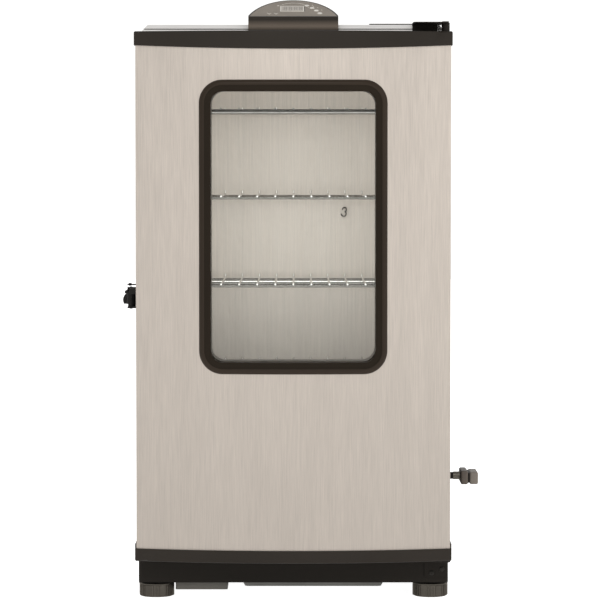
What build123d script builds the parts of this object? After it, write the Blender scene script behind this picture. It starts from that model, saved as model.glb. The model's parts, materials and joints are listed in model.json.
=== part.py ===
"""Electric cabinet smoker, built as separate pieces.

Millimetres, +Z up.  The floor is Z = 0 and the origin lies on it, midway between the four feet's
left and right pairs, under the middle of the cabinet body.  The door faces -Y and +X is the
right-hand side for someone standing in front of it.
"""
from build123d import *
import os
from math import cos, radians, sin

os.makedirs("parts", exist_ok=True)

# ---- cabinet body ----
BODY_W = 540.0
BODY_FRONT = -200.0
BODY_REAR = 196.0
BODY_CORNER = 14.0
SHEET = 1.2
GAP = 0.3
BASE_BOTTOM = 27.0
BASE_TOP = 69.0
SHELL_TOP = 984.0
TOP_RISE = 14.0
TOP_CHAMFER = 12.0

# ---- cooking chamber ----
CAVITY_W = 504.0
CAVITY_BOTTOM = 110.0
CAVITY_TOP = 940.0
CAVITY_REAR = 158.0
COLLAR_LIP = 5.0

# ---- door ----
DOOR_W = 542.0
DOOR_BACK = -204.0
DOOR_EDGE_FRONT = -250.0
DOOR_BOW = 35.0
SKIN_BOTTOM = 88.0
SKIN_TOP = 962.0
CAP_OVERHANG = 2.5
CAP_TOP = 984.0
CAP_EDGE = 960.0
CAP_DIP = 7.0
TOE_BOTTOM = 71.0
TOE_TOP = 92.8
TOE_EAR = 8.0
HINGE_X = 262.0
HINGE_Y = -236.0
HINGE_PIN_R = 4.0
BRACKET_T = 2.0
PIN_PLAY = 0.06
GASKET_GAP = 2.5
GASKET_W = 7.5

# ---- latch ----
LATCH_X = -284.0
LATCH_Y = -165.0
LATCH_Z = 522.5
LATCH_PIN_R = 2.5
LATCH_THROW = 6.0

# ---- window ----
WINDOW_W = 323.0
WINDOW_BOTTOM = 396.5
WINDOW_TOP = 900.5
WINDOW_CORNER = 40.0
PANE_W = 283.0
PANE_BOTTOM = 417.0
PANE_TOP = 882.0
PANE_CORNER = 23.0
GLASS = 4.0
GLASS_Y = -262.0
INNER_GLASS_Y = -216.0
WINDOW_LIP = 11.5
WINDOW_PROUD = 6.0

# ---- racks ----
RACK_LEVELS = (390.0, 543.5, 697.0, 849.5)
RACK_W = 498.0
RACK_FRONT = -182.0
RACK_REAR = 128.0
RACK_ROD_R = 2.6
RACK_WIRE_R = 1.6
RACK_WIRES = 15
RACK_PITCH = 31.5
RACK_CURL = 7.0

# ---- things under and beside the body ----
FOOT_R = 31.0
FOOT_H = 24.0
FOOT_X = 240.0
FOOT_Y_FRONT = -168.0
FOOT_Y_REAR = 158.0
STUD_R = 5.0
LOADER_Y = -20.0
LOADER_Z = 195.5
LOADER_R = 31.0
LOADER_REACH = 150.0
LOADER_NECK_R = 7.4

# ---- smoke vent on the left wall ----
VENT_Y = 40.0
VENT_Z = 870.0
VENT_R = 24.0

# ---- heating element and its rear cover ----
ELEMENT_LEGS = (110.0, 190.0)
ELEMENT_Z = 128.0
ELEMENT_R = 4.0
COVER_X = 150.0
COVER_Z = 140.0

# ---- chip housing and tray ----
HOUSING_X0 = 84.0
HOUSING_X1 = 232.0
HOUSING_Y0 = -130.0
HOUSING_Y1 = 110.0
HOUSING_TOP = 232.0
CHIP_X0 = 94.0
CHIP_X1 = 222.0
CHIP_Y0 = -110.0
CHIP_Y1 = 60.0
CHIP_Z0 = 140.0
CHIP_Z1 = 158.0

# ---- power box, grease tray and drain under the base ----
BOX_X0 = -206.0
BOX_X1 = -115.0
BOX_Y0 = -135.0
TROUGH_Y0 = -190.0
TROUGH_TOP = 26.0
BOX_Y1 = -20.0
BOX_Z0 = 13.0
INLET_X = -160.0
INLET_Z = 34.0
TRAY_X0 = -99.0
TRAY_X1 = 168.0
TRAY_Y0 = -190.0
TRAY_Y1 = 190.0
TRAY_Z0 = 17.0
TRAY_TOP = 44.0
DRAIN_X = 0.0
DRAIN_Y = -30.0
DRAIN_R = 9.0

# ---- controller ----
CONTROL_W = 156.0
CONTROL_FRONT = -197.0
CONTROL_DEPTH = 92.0
CONTROL_LIP_Z = 1011.5
CONTROL_TILT = 19.9
CONTROL_WALL = 2.5
FACE_T = 1.6
ROOF_T = 3.2
BOARD_DEPTH = 11.0
SCREEN_W = 42.0
SCREEN_H = 30.0
SCREEN_AT = (-1.0, 46.0)
BUTTONS_AT = ((23.5, 63.0), (32.5, 49.0), (40.0, 34.0), (46.0, 18.0))
BUTTON_R = 4.0

# ---- loose pans in the chamber ----
PAN_LEDGE_Z = 345.0
BOWL_Z = 232.3

TOP_Z = SHELL_TOP + SHEET
PANEL_TOP = SHELL_TOP + TOP_RISE
FACE = Plane(
    origin=(0, CONTROL_FRONT, CONTROL_LIP_Z),
    x_dir=(1, 0, 0),
    z_dir=(0, -sin(radians(CONTROL_TILT)), cos(radians(CONTROL_TILT))),
)


def save(shape, name):
    """Write one named piece as its own STEP file."""
    shape.label = name
    export_step(shape, f"parts/{name}.step")


def block(x0, x1, y0, y1, z0, z1):
    """A box given by its faces."""
    return Pos((x0 + x1) / 2, (y0 + y1) / 2, (z0 + z1) / 2) * Box(x1 - x0, y1 - y0, z1 - z0)


def upright(x, y, z0, z1, radius):
    """A round bar standing on z0."""
    return Pos(x, y, (z0 + z1) / 2) * Cylinder(radius, z1 - z0)


def bar_x(x0, x1, y, z, radius):
    """A round bar along X."""
    return Pos((x0 + x1) / 2, y, z) * Rot(0, 90, 0) * Cylinder(radius, x1 - x0)


def bar_y(x, y0, y1, z, radius):
    """A round bar along Y."""
    return Pos(x, (y0 + y1) / 2, z) * Rot(90, 0, 0) * Cylinder(radius, y1 - y0)


def rounded_slab(x0, x1, y0, y1, z0, z1, radius):
    """A slab with rounded corners in plan."""
    plan = RectangleRounded(x1 - x0, y1 - y0, radius)
    return Pos((x0 + x1) / 2, (y0 + y1) / 2, z0) * extrude(plan, z1 - z0)


def rounded_front(x0, x1, z0, z1, radius, y0, y1):
    """A slab with rounded corners seen from the front, running from y0 back to y1."""
    face = RectangleRounded(x1 - x0, z1 - z0, radius)
    placed = Plane(origin=((x0 + x1) / 2, y0, (z0 + z1) / 2), x_dir=(1, 0, 0), z_dir=(0, -1, 0))
    return extrude(placed * face, -(y1 - y0))


def bowed(half_width, back, inset, z0, z1):
    """The door's plan between two heights: flat sides and back, and a bowed front set in by inset."""
    edge = DOOR_EDGE_FRONT + inset
    crown = edge - DOOR_BOW
    outline = [
        Line((half_width, edge), (half_width, back)),
        Line((half_width, back), (-half_width, back)),
        Line((-half_width, back), (-half_width, edge)),
        ThreePointArc((-half_width, edge), (0, crown), (half_width, edge)),
    ]
    return Pos(0, 0, z0) * extrude(make_face(outline), z1 - z0)


def control_plan(inset):
    """Plan of the controller, straight in front and curved behind, made smaller by inset."""
    half = CONTROL_W / 2 - inset
    y0 = CONTROL_FRONT + inset
    y1 = CONTROL_FRONT + CONTROL_DEPTH - inset
    side = CONTROL_FRONT + 0.06 * CONTROL_DEPTH
    peak = side + (y1 - side) / 0.75
    outline = [
        Line((-half, y0), (half, y0)),
        Line((half, y0), (half, side)),
        Bezier((half, side), (0.62 * half, peak), (-0.62 * half, peak), (-half, side)),
        Line((-half, side), (-half, y0)),
    ]
    return make_face(outline)


def above_face(depth):
    """Everything above a plane that lies depth under the controller's tilted face."""
    return FACE * Pos(0, 50, 50 - depth) * Box(400, 400, 100)


# ------------------------------------------------------------------ cabinet body

def outer_shell():
    """Folded side and rear casing, open at the front, top and bottom."""
    half = BODY_W / 2
    outer = block(-half, half, BODY_FRONT, BODY_REAR, BASE_TOP, SHELL_TOP)
    rear_edges = outer.edges().filter_by(Axis.Z).group_by(Axis.Y)[-1]
    outer = fillet(rear_edges, BODY_CORNER)
    inner = block(-half + SHEET, half - SHEET, BODY_FRONT - 1, BODY_REAR - SHEET, BASE_TOP - 1, SHELL_TOP + 1)
    inner_edges = inner.edges().filter_by(Axis.Z).group_by(Axis.Y)[-1]
    inner = fillet(inner_edges, BODY_CORNER - SHEET)
    shell = outer - inner
    shell -= bar_x(half - 5, half + 5, LOADER_Y, LOADER_Z, LOADER_R + 2.0)
    shell -= bar_x(-half - 5, -half + 5, VENT_Y, VENT_Z, VENT_R)
    shell -= rounded_front(COVER_X - 52, COVER_X + 52, COVER_Z - 42, COVER_Z + 42, 6,
                           BODY_REAR - 3, BODY_REAR + 1)
    return shell


def top_panel():
    """Raised pressed lid over the casing, with sloped sides."""
    half = BODY_W / 2
    foot = Pos(0, (BODY_FRONT + BODY_REAR) / 2, SHELL_TOP) * Rectangle(
        BODY_W - 10, BODY_REAR - BODY_FRONT - 8)
    head = Pos(0, (BODY_FRONT + BODY_REAR) / 2, PANEL_TOP) * Rectangle(
        BODY_W - 10 - 2 * TOP_CHAMFER, BODY_REAR - BODY_FRONT - 8 - 2 * TOP_CHAMFER)
    crown = loft([foot.face(), head.face()])
    crown -= block(-half + 20, half - 20, BODY_FRONT + 20, BODY_REAR - 20, SHELL_TOP - 1, PANEL_TOP - SHEET)
    flange = block(-half, half, BODY_FRONT, BODY_REAR, SHELL_TOP, TOP_Z)
    flange = fillet(flange.edges().filter_by(Axis.Z).group_by(Axis.Y)[-1], BODY_CORNER)
    flange -= block(-half + 20, half - 20, BODY_FRONT + 20, BODY_REAR - 20, SHELL_TOP - 1, TOP_Z + 1)
    seat = block(-100, 100, BODY_FRONT, CONTROL_FRONT + CONTROL_DEPTH + 12, SHELL_TOP, TOP_Z)
    return (crown + flange) - Pos(0, 0, TOP_Z) * extrude(control_plan(-GAP), 60) + seat


def base_pan():
    """Dark base tray: a top deck with skirts down to the feet, open underneath."""
    half = BODY_W / 2
    front = BODY_FRONT - 4
    outer = block(-half, half, front, BODY_REAR, BASE_BOTTOM, BASE_TOP)
    outer = fillet(outer.edges().filter_by(Axis.Z), 6)
    inner = block(-half + 2, half - 2, front + 2, BODY_REAR - 2, BASE_BOTTOM - 1, BASE_TOP - 2)
    pan = outer - inner
    pan -= block(TRAY_X0 - 11, TRAY_X1 + 11, BODY_REAR - 5, BODY_REAR + 5, BASE_BOTTOM - 1, TRAY_TOP + 5)
    pan -= upright(DRAIN_X, DRAIN_Y, BASE_TOP - 5, BASE_TOP + 5, DRAIN_R + 0.2)
    pan -= block(INLET_X - 9, INLET_X + 9, BODY_REAR - 5, BODY_REAR + 5, BASE_BOTTOM - 1, INLET_Z + 9)
    return pan


def foot_rails():
    """Two cross channels inside the base that the feet screw into."""
    rails = []
    for y in (FOOT_Y_FRONT, FOOT_Y_REAR):
        outer = block(-BODY_W / 2 + 2.5, BODY_W / 2 - 2.5, y - 27, y + 27, BASE_BOTTOM, BASE_TOP - 2)
        hollow = block(-BODY_W / 2 - 1, BODY_W / 2 + 1, y - 23, y + 23, BASE_BOTTOM + 4, BASE_TOP + 1)
        rail = outer - hollow
        middle = block(-FOOT_X + 38, FOOT_X - 38, y - 30, y + 30, BASE_BOTTOM - 1, BASE_TOP - 6)
        rail -= middle
        for x in (-FOOT_X, FOOT_X):
            rail -= upright(x, y, BASE_BOTTOM - 1, BASE_BOTTOM + 6, STUD_R + PIN_PLAY)
        rails.append(rail)
    return Compound(children=rails)


def inner_liner():
    """Bright chamber box, open at the front."""
    half = CAVITY_W / 2
    outer = block(-half - SHEET, half + SHEET, BODY_FRONT + COLLAR_LIP, CAVITY_REAR + SHEET,
                  CAVITY_BOTTOM - SHEET, CAVITY_TOP + SHEET)
    inner = block(-half, half, BODY_FRONT, CAVITY_REAR, CAVITY_BOTTOM, CAVITY_TOP)
    liner = outer - inner
    liner -= bar_x(half - 3, half + 5, LOADER_Y, LOADER_Z, LOADER_R + 2.0)
    liner -= bar_x(-half - 5, -half + 3, VENT_Y, VENT_Z, VENT_R)
    liner -= upright(DRAIN_X, DRAIN_Y, CAVITY_BOTTOM - 5, CAVITY_BOTTOM + 5, DRAIN_R + 0.2)
    for x in ELEMENT_LEGS:
        liner -= bar_y(x, CAVITY_REAR - 3, CAVITY_REAR + 5, ELEMENT_Z, ELEMENT_R + 0.2)
    return liner


def wall_insulation():
    """Mineral wool between the chamber box and the casing."""
    half = BODY_W / 2 - SHEET - GAP
    wool = block(-half, half, BODY_FRONT + 12, BODY_REAR - SHEET - GAP, BASE_TOP + GAP, SHELL_TOP - GAP)
    wool = fillet(wool.edges().filter_by(Axis.Z).group_by(Axis.Y)[-1], BODY_CORNER - SHEET)
    room = CAVITY_W / 2 + SHEET + GAP
    wool -= block(-room, room, BODY_FRONT, CAVITY_REAR + SHEET + GAP, CAVITY_BOTTOM - SHEET - GAP,
                  CAVITY_TOP + SHEET + GAP)
    wool -= bar_x(half - 30, half + 5, LOADER_Y, LOADER_Z, LOADER_R + 2.3)
    wool -= bar_x(-half - 5, -half + 30, VENT_Y, VENT_Z, VENT_R + 0.3)
    wool -= upright(DRAIN_X, DRAIN_Y, BASE_TOP - 5, CAVITY_BOTTOM + 5, DRAIN_R + 0.5)
    wool -= block(COVER_X - 52, COVER_X + 52, CAVITY_REAR, BODY_REAR + 1, COVER_Z - 42, COVER_Z + 42)
    return wool


def front_collar():
    """Frame joining chamber and casing round the door opening."""
    half = BODY_W / 2 - SHEET
    room = CAVITY_W / 2
    collar = block(-half, half, BODY_FRONT, BODY_FRONT + COLLAR_LIP, BASE_TOP, SHELL_TOP)
    collar -= block(-room, room, BODY_FRONT - 1, BODY_FRONT + COLLAR_LIP + 1, CAVITY_BOTTOM, CAVITY_TOP)
    return collar


def rack_supports():
    """Left and right ladders with a ledge for each rack."""
    ladders = []
    for side in (-1, 1):
        wall = side * CAVITY_W / 2
        inner = wall - side * 1.5
        ladder = None
        for y in (RACK_FRONT + 45, RACK_REAR - 35):
            x0, x1 = sorted((wall, inner))
            post = block(x0, x1, y - 7, y + 7, PAN_LEDGE_Z - 15, RACK_LEVELS[-1] + 25)
            ladder = post if ladder is None else ladder + post
        for z in (PAN_LEDGE_Z + RACK_ROD_R, *RACK_LEVELS):
            x0, x1 = sorted((wall, wall - side * 9))
            top = z - RACK_ROD_R - GAP
            ladder += block(x0, x1, RACK_FRONT + 8, RACK_REAR - 4, top - 1.5, top)
        ladders.append(ladder)
    return Compound(children=ladders)


def rack():
    """One cooking rack at Z = 0: heavy rods round and across it, and thin wires curled up at the rear."""
    half = RACK_W / 2 - RACK_ROD_R
    front = RACK_FRONT + RACK_ROD_R
    rear = RACK_REAR - RACK_ROD_R
    grid = None
    for step in range(4):
        y = front + step * (rear - front) / 3
        rod = bar_x(-half - RACK_ROD_R, half + RACK_ROD_R, y, 0, RACK_ROD_R)
        grid = rod if grid is None else grid + rod
    for x in (-half, half):
        grid += bar_y(x, front, rear, 0, RACK_ROD_R - 0.2)
    wire_z = RACK_ROD_R + RACK_WIRE_R - 0.6
    for index in range(RACK_WIRES):
        x = (index - (RACK_WIRES - 1) / 2) * RACK_PITCH
        wire = bar_y(x, RACK_FRONT + 0.7, RACK_REAR - 0.9, wire_z, RACK_WIRE_R)
        curl = upright(x, RACK_REAR - 2.8, wire_z - 0.5, wire_z + RACK_CURL, RACK_WIRE_R - 0.15)
        grid += wire + curl
    return grid


def temperature_sensor():
    """Small probe on a curled clip on the rear wall."""
    x, z = 92.0, 663.0
    plate = block(x - 5, x + 5, CAVITY_REAR - 1.5, CAVITY_REAR, z - 9, z + 9)
    stem = bar_y(x, CAVITY_REAR - 12, CAVITY_REAR - 1.5, z - 5, 1.6)
    bulb = bar_y(x, CAVITY_REAR - 26, CAVITY_REAR - 12, z - 5, 2.4)
    loop_plane = Plane(origin=(x, CAVITY_REAR - 5, z + 4), x_dir=(1, 0, 0), z_dir=(0, -1, 0))
    clip = loop_plane * Torus(4.5, 1.1)
    strap = bar_y(x, CAVITY_REAR - 6, CAVITY_REAR - 1.5, z + 8.5, 1.2)
    return plate + stem + bulb + clip + strap


def heating_element():
    """Bent tubular element; its two legs go out through the rear wall."""
    left, right = ELEMENT_LEGS
    bend = (right - left) / 2
    front = -60.0
    rear = CAVITY_REAR + 14
    route = [
        Line((left, rear, ELEMENT_Z), (left, front, ELEMENT_Z)),
        ThreePointArc((left, front, ELEMENT_Z), (left + bend, front - bend, ELEMENT_Z),
                      (right, front, ELEMENT_Z)),
        Line((right, front, ELEMENT_Z), (right, rear, ELEMENT_Z)),
    ]
    path = Wire(route)
    section = Plane(origin=(left, rear, ELEMENT_Z), z_dir=(0, -1, 0)) * Circle(ELEMENT_R)
    return sweep(section, path=path)


def rear_service_cover():
    """Screwed cover over the element's terminals in the rear wall."""
    plate = rounded_front(COVER_X - 60, COVER_X + 60, COVER_Z - 50, COVER_Z + 50, 8,
                          BODY_REAR, BODY_REAR + 1.5)
    dome = rounded_front(COVER_X - 46, COVER_X + 46, COVER_Z - 36, COVER_Z + 36, 6, BODY_REAR, BODY_REAR + 9)
    dome -= rounded_front(COVER_X - 44, COVER_X + 44, COVER_Z - 34, COVER_Z + 34, 5,
                          BODY_REAR - 5, BODY_REAR + 7.5)
    cover = plate + dome
    cover -= rounded_front(COVER_X - 44, COVER_X + 44, COVER_Z - 34, COVER_Z + 34, 5,
                           BODY_REAR - 5, BODY_REAR + 2)
    for x in (-53, 53):
        for z in (-43, 43):
            cover += Pos(COVER_X + x, BODY_REAR + 2.4, COVER_Z + z) * Rot(90, 0, 0) * Cylinder(3.5, 1.8)
    return cover


def chip_housing():
    """Steel hood over the element, open at the front for the chip tray, slotted on top."""
    hood = block(HOUSING_X0, HOUSING_X1, HOUSING_Y0, HOUSING_Y1, CAVITY_BOTTOM, HOUSING_TOP)
    hood -= block(HOUSING_X0 + 1.5, HOUSING_X1 - 1.5, HOUSING_Y0 - 1, HOUSING_Y1 - 1.5,
                  CAVITY_BOTTOM - 1, HOUSING_TOP - 1.5)
    for x in ELEMENT_LEGS:
        hood -= bar_y(x, HOUSING_Y1 - 5, HOUSING_Y1 + 5, ELEMENT_Z, ELEMENT_R + 0.2)
    hood -= bar_x(HOUSING_X1 - 5, HOUSING_X1 + 5, LOADER_Y, LOADER_Z, LOADER_R + 2.0)
    for index in range(5):
        x = HOUSING_X0 + 30 + index * 22
        hood -= block(x - 3, x + 3, HOUSING_Y0 + 40, HOUSING_Y1 - 40, HOUSING_TOP - 5, HOUSING_TOP + 5)
    for x0, x1 in ((HOUSING_X0 + 1.5, HOUSING_X0 + 7), (HOUSING_X1 - 7, HOUSING_X1 - 1.5)):
        hood += block(x0, x1, HOUSING_Y0, HOUSING_Y1 - 1.5, CHIP_Z0 - 2.0, CHIP_Z0 - GAP)
    return hood


def chip_tray():
    """Pull-out tray for the wood chips."""
    tray = block(CHIP_X0, CHIP_X1, CHIP_Y0, CHIP_Y1, CHIP_Z0, CHIP_Z1)
    tray -= block(CHIP_X0 + 1.5, CHIP_X1 - 1.5, CHIP_Y0 + 1.5, CHIP_Y1 - 1.5, CHIP_Z0 + 1.5, CHIP_Z1 + 1)
    rims = block(CHIP_X0 - 6, CHIP_X1 + 6, CHIP_Y0, CHIP_Y1, CHIP_Z0, CHIP_Z0 + 1.5)
    tab = block(CHIP_X0 + 40, CHIP_X1 - 40, CHIP_Y0 - 14, CHIP_Y0 + 1, CHIP_Z1 - 3, CHIP_Z1 - 1)
    return tray + rims + tab


def loader_sleeve():
    """Round sleeve through the right wall that guides the chip loader."""
    outer_end = BODY_W / 2 + 1.5
    inner_end = HOUSING_X1 - 4
    sleeve = bar_x(inner_end, outer_end, LOADER_Y, LOADER_Z, LOADER_R + 1.7)
    flange = bar_x(BODY_W / 2, outer_end, LOADER_Y, LOADER_Z, LOADER_R + 9)
    bore = bar_x(inner_end - 1, outer_end + 1, LOADER_Y, LOADER_Z, LOADER_R + 0.4)
    return sleeve + flange - bore


def loader_scoop():
    """Half-open tube that carries chips in and tips them into the tray when turned."""
    end = BODY_W / 2
    radius = LOADER_R - 1.2
    tube = bar_x(end - LOADER_REACH, end - 5, LOADER_Y, LOADER_Z, radius)
    tube -= bar_x(end - LOADER_REACH + 2, end - 30, LOADER_Y, LOADER_Z, radius - 1.5)
    tube -= block(end - LOADER_REACH + 2, end - 30, LOADER_Y - radius, LOADER_Y + radius,
                  LOADER_Z + 4, LOADER_Z + radius + 1)
    return tube


def loader_bearing_ring():
    """Ring that slides in the sleeve and lets the scoop turn inside it."""
    end = BODY_W / 2
    ring = bar_x(end - 3.0, end + 3.0, LOADER_Y, LOADER_Z, LOADER_R)
    ring -= bar_x(end - 4.0, end + 4.0, LOADER_Y, LOADER_Z, LOADER_NECK_R + PIN_PLAY)
    return ring


def loader_handle():
    """Neck and bar grip outside the wall."""
    end = BODY_W / 2
    neck = bar_x(end - 5, 300, LOADER_Y, LOADER_Z, LOADER_NECK_R)
    grip = block(300, 313.4, LOADER_Y - 36, LOADER_Y + 36, LOADER_Z - 13, LOADER_Z + 11.6)
    grip = fillet(grip.edges().filter_by(Axis.X), 9)
    waist = block(313.4, 315.2, LOADER_Y - 32, LOADER_Y + 32, LOADER_Z - 10.6, LOADER_Z + 8)
    tip = block(315.2, 331, LOADER_Y - 34, LOADER_Y + 34, LOADER_Z - 12.8, LOADER_Z + 9)
    tip = fillet(tip.edges().filter_by(Axis.X), 9)
    tip = chamfer(tip.faces().sort_by(Axis.X)[-1].edges(), 1.5)
    return neck + grip + waist + tip


def vent_collar():
    """Tube through the left wall that lets smoke out, with a flange outside."""
    wall = -BODY_W / 2
    tube = bar_x(wall - 1.2, -CAVITY_W / 2, VENT_Y, VENT_Z, VENT_R - 0.2)
    flange = bar_x(wall - 1.2, wall, VENT_Y, VENT_Z, VENT_R + 9)
    bore = bar_x(wall - 3, -CAVITY_W / 2 + 1, VENT_Y, VENT_Z, VENT_R - 1.4)
    spokes = block(wall - 1.2, wall, VENT_Y - VENT_R, VENT_Y + VENT_R, VENT_Z - 5, VENT_Z + 5)
    collar = tube + flange - bore + spokes
    return collar - bar_x(wall - 3, wall + 3, VENT_Y, VENT_Z, 2.5 + PIN_PLAY)


def damper_disc():
    """Turning damper plate with three openings, a pivot and a finger knob."""
    face = -BODY_W / 2 - 1.2 - GAP
    disc = bar_x(face - 1.5, face, VENT_Y, VENT_Z, VENT_R + 6)
    for turn in (60, 180, 300):
        petal = (Pos(face, VENT_Y, VENT_Z) * Rot(turn, 0, 0) * Pos(0, 0, 14.5)
                 * Rot(0, 90, 0) * Cylinder(6.5, 6))
        disc -= petal
    pivot = bar_x(face - 3.5, face + 4.5, VENT_Y, VENT_Z, 2.5)
    knob = bar_x(face - 11, face - 1.5, VENT_Y, VENT_Z + 20, 5)
    return disc + pivot + knob


def rear_handle():
    """Carrying handle across the back: two feet and a round bar."""
    z = 760.0
    reach = 38.0
    bar = bar_x(-95, 95, BODY_REAR + reach, z, 8)
    for x in (-85, 85):
        bar += bar_y(x, BODY_REAR + 3, BODY_REAR + reach, z, 7)
        bar += rounded_front(x - 16, x + 16, z - 26, z + 26, 8, BODY_REAR, BODY_REAR + 4)
    return bar


# ------------------------------------------------------------------ under the body

def power_box():
    """Box under the base that the supply wiring joins in, with a low trough in front."""
    case = block(BOX_X0, BOX_X1, BOX_Y0, BOX_Y1, BOX_Z0, BASE_TOP - 2)
    case = fillet(case.edges().filter_by(Axis.Z), 4)
    case = chamfer(case.faces().sort_by(Axis.Z)[0].edges(), 1.5)
    trough = block(BOX_X0, BOX_X1, TROUGH_Y0, BOX_Y0 + 6, BOX_Z0, TROUGH_TOP)
    front_edges = trough.edges().filter_by(Axis.Z).group_by(Axis.Y)[0]
    case += fillet(front_edges, 4)
    case -= block(BOX_X0 + 2, BOX_X1 - 2, TROUGH_Y0 + 2, BOX_Y0 + 8, BOX_Z0 + 2, TROUGH_TOP - 2)
    case -= block(BOX_X0 + 2, BOX_X1 - 2, BOX_Y0 + 2, BOX_Y1 - 2, BOX_Z0 + 2, BASE_TOP - 4)
    case -= bar_y(INLET_X, BOX_Y1 - 5, BOX_Y1 + 5, INLET_Z, 8)
    return case


def cord_inlet():
    """Gland for the supply cord in the rear of the power box."""
    gland = bar_y(INLET_X, BOX_Y1 - 6, BOX_Y1, INLET_Z, 8)
    nut = Pos(INLET_X, BOX_Y1, INLET_Z) * Rot(-90, 0, 0) * extrude(RegularPolygon(12, 6), 8)
    gland += nut
    gland += bar_y(INLET_X, BOX_Y1 + 8, BOX_Y1 + 16, INLET_Z, 7.5)
    return gland - bar_y(INLET_X, BOX_Y1 - 8, BOX_Y1 + 18, INLET_Z, 4.5)


def grease_tray_rails():
    """Two hangers under the base that the grease tray slides on."""
    hangers = []
    for side, x in ((-1, TRAY_X0), (1, TRAY_X1)):
        x0, x1 = sorted((x + side * 9.5, x + side * 11))
        web = block(x0, x1, FOOT_Y_FRONT + 30, FOOT_Y_REAR - 30, TRAY_TOP - 3, BASE_TOP - 2)
        lo, hi = sorted((x + side * 1.5, x + side * 11))
        ledge = block(lo, hi, FOOT_Y_FRONT + 30, FOOT_Y_REAR - 30, TRAY_TOP - 3.5, TRAY_TOP - 2)
        flange_lo, flange_hi = sorted((x + side * 9.5, x + side * 15))
        flange = block(flange_lo, flange_hi, FOOT_Y_FRONT + 30, FOOT_Y_REAR - 30,
                       BASE_TOP - 3.5, BASE_TOP - 2)
        hangers.append(web + ledge + flange)
    return Compound(children=hangers)


def grease_tray():
    """Tapered catch tray that slides out at the rear."""
    mid_x, mid_y = (TRAY_X0 + TRAY_X1) / 2, (TRAY_Y0 + TRAY_Y1) / 2
    width, length = TRAY_X1 - TRAY_X0, TRAY_Y1 - TRAY_Y0

    def frustum(inset, z0, z1, draft):
        low = Pos(mid_x, mid_y, z0) * RectangleRounded(
            width - 2 * (inset + draft), length - 2 * (inset + draft), 8)
        high = Pos(mid_x, mid_y, z1) * RectangleRounded(width - 2 * inset, length - 2 * inset, 8)
        return loft([low.face(), high.face()])

    tray = frustum(0, TRAY_Z0, TRAY_TOP, 14)
    tray -= frustum(1.5, TRAY_Z0 + 1.5, TRAY_TOP + 1, 14)
    rim = block(TRAY_X0 - 8.5, TRAY_X1 + 8.5, TRAY_Y0, TRAY_Y1, TRAY_TOP - 1.5, TRAY_TOP)
    rim -= block(TRAY_X0 + 3, TRAY_X1 - 3, TRAY_Y0 + 3, TRAY_Y1 - 3, TRAY_TOP - 3, TRAY_TOP + 1)
    pull = block(mid_x - 40, mid_x + 40, TRAY_Y1 - 1, TRAY_Y1 + 16, TRAY_TOP - 1.5, TRAY_TOP)
    return tray + rim + pull


def grease_drain():
    """Spout from the chamber floor down to the grease tray."""
    tube = upright(DRAIN_X, DRAIN_Y, BASE_TOP - 12, CAVITY_BOTTOM, DRAIN_R)
    flange = upright(DRAIN_X, DRAIN_Y, CAVITY_BOTTOM, CAVITY_BOTTOM + 1.2, DRAIN_R + 7)
    return tube + flange - upright(DRAIN_X, DRAIN_Y, BASE_TOP - 14, CAVITY_BOTTOM + 3, DRAIN_R - 1.5)


def foot():
    """Levelling foot: ribbed disc with its threaded stud, at the origin."""
    disc = upright(0, 0, 0, FOOT_H, FOOT_R - 1.2)
    ribs = 40
    for index in range(ribs):
        angle = index * 360 / ribs
        disc += Rot(0, 0, angle) * Pos(FOOT_R - 1.2, 0, FOOT_H / 2) * Cylinder(1.2, FOOT_H - 5)
    disc = chamfer(disc.faces().sort_by(Axis.Z)[0].edges(), 1.2)
    shoulder = upright(0, 0, FOOT_H, FOOT_H + 2.5, 14)
    stud = upright(0, 0, FOOT_H, BASE_TOP - 8, STUD_R)
    return disc + shoulder + stud


# ------------------------------------------------------------------ door

def door_skin():
    """Bowed brushed sheet with returned sides, open behind and at the window."""
    half = DOOR_W / 2
    sheet = bowed(half, DOOR_BACK, 0, SKIN_BOTTOM, SKIN_TOP)
    sheet -= bowed(half - SHEET, DOOR_BACK + 10, SHEET, SKIN_BOTTOM - 1, SKIN_TOP + 1)
    return sheet - window_hole(WINDOW_LIP + 2 * GAP, DOOR_EDGE_FRONT - DOOR_BOW - 5, DOOR_BACK + 5)


def door_top_cap():
    """Moulded cap over the door's top edge, a little deeper in the middle."""
    half = DOOR_W / 2 + CAP_OVERHANG
    low = CAP_EDGE - CAP_DIP
    cap = bowed(half, DOOR_BACK, -CAP_OVERHANG, low, CAP_TOP)
    cap = fillet(cap.faces().sort_by(Axis.Z)[-1].edges(), 3)
    cap -= bowed(DOOR_W / 2, DOOR_BACK + 10, 0, low - 1, SKIN_TOP)
    outline = [
        ThreePointArc((-half, CAP_EDGE), (0, low), (half, CAP_EDGE)),
        Line((half, CAP_EDGE), (half + 5, low - 20)),
        Line((half + 5, low - 20), (-half - 5, low - 20)),
        Line((-half - 5, low - 20), (-half, CAP_EDGE)),
    ]
    cap -= Plane.XZ * Pos(0, 0, -DOOR_BACK - 40) * extrude(make_face(outline), 150)
    cap -= upright(HINGE_X, HINGE_Y, CAP_TOP - 20, CAP_TOP + 2, HINGE_PIN_R + PIN_PLAY)
    return cap


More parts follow.
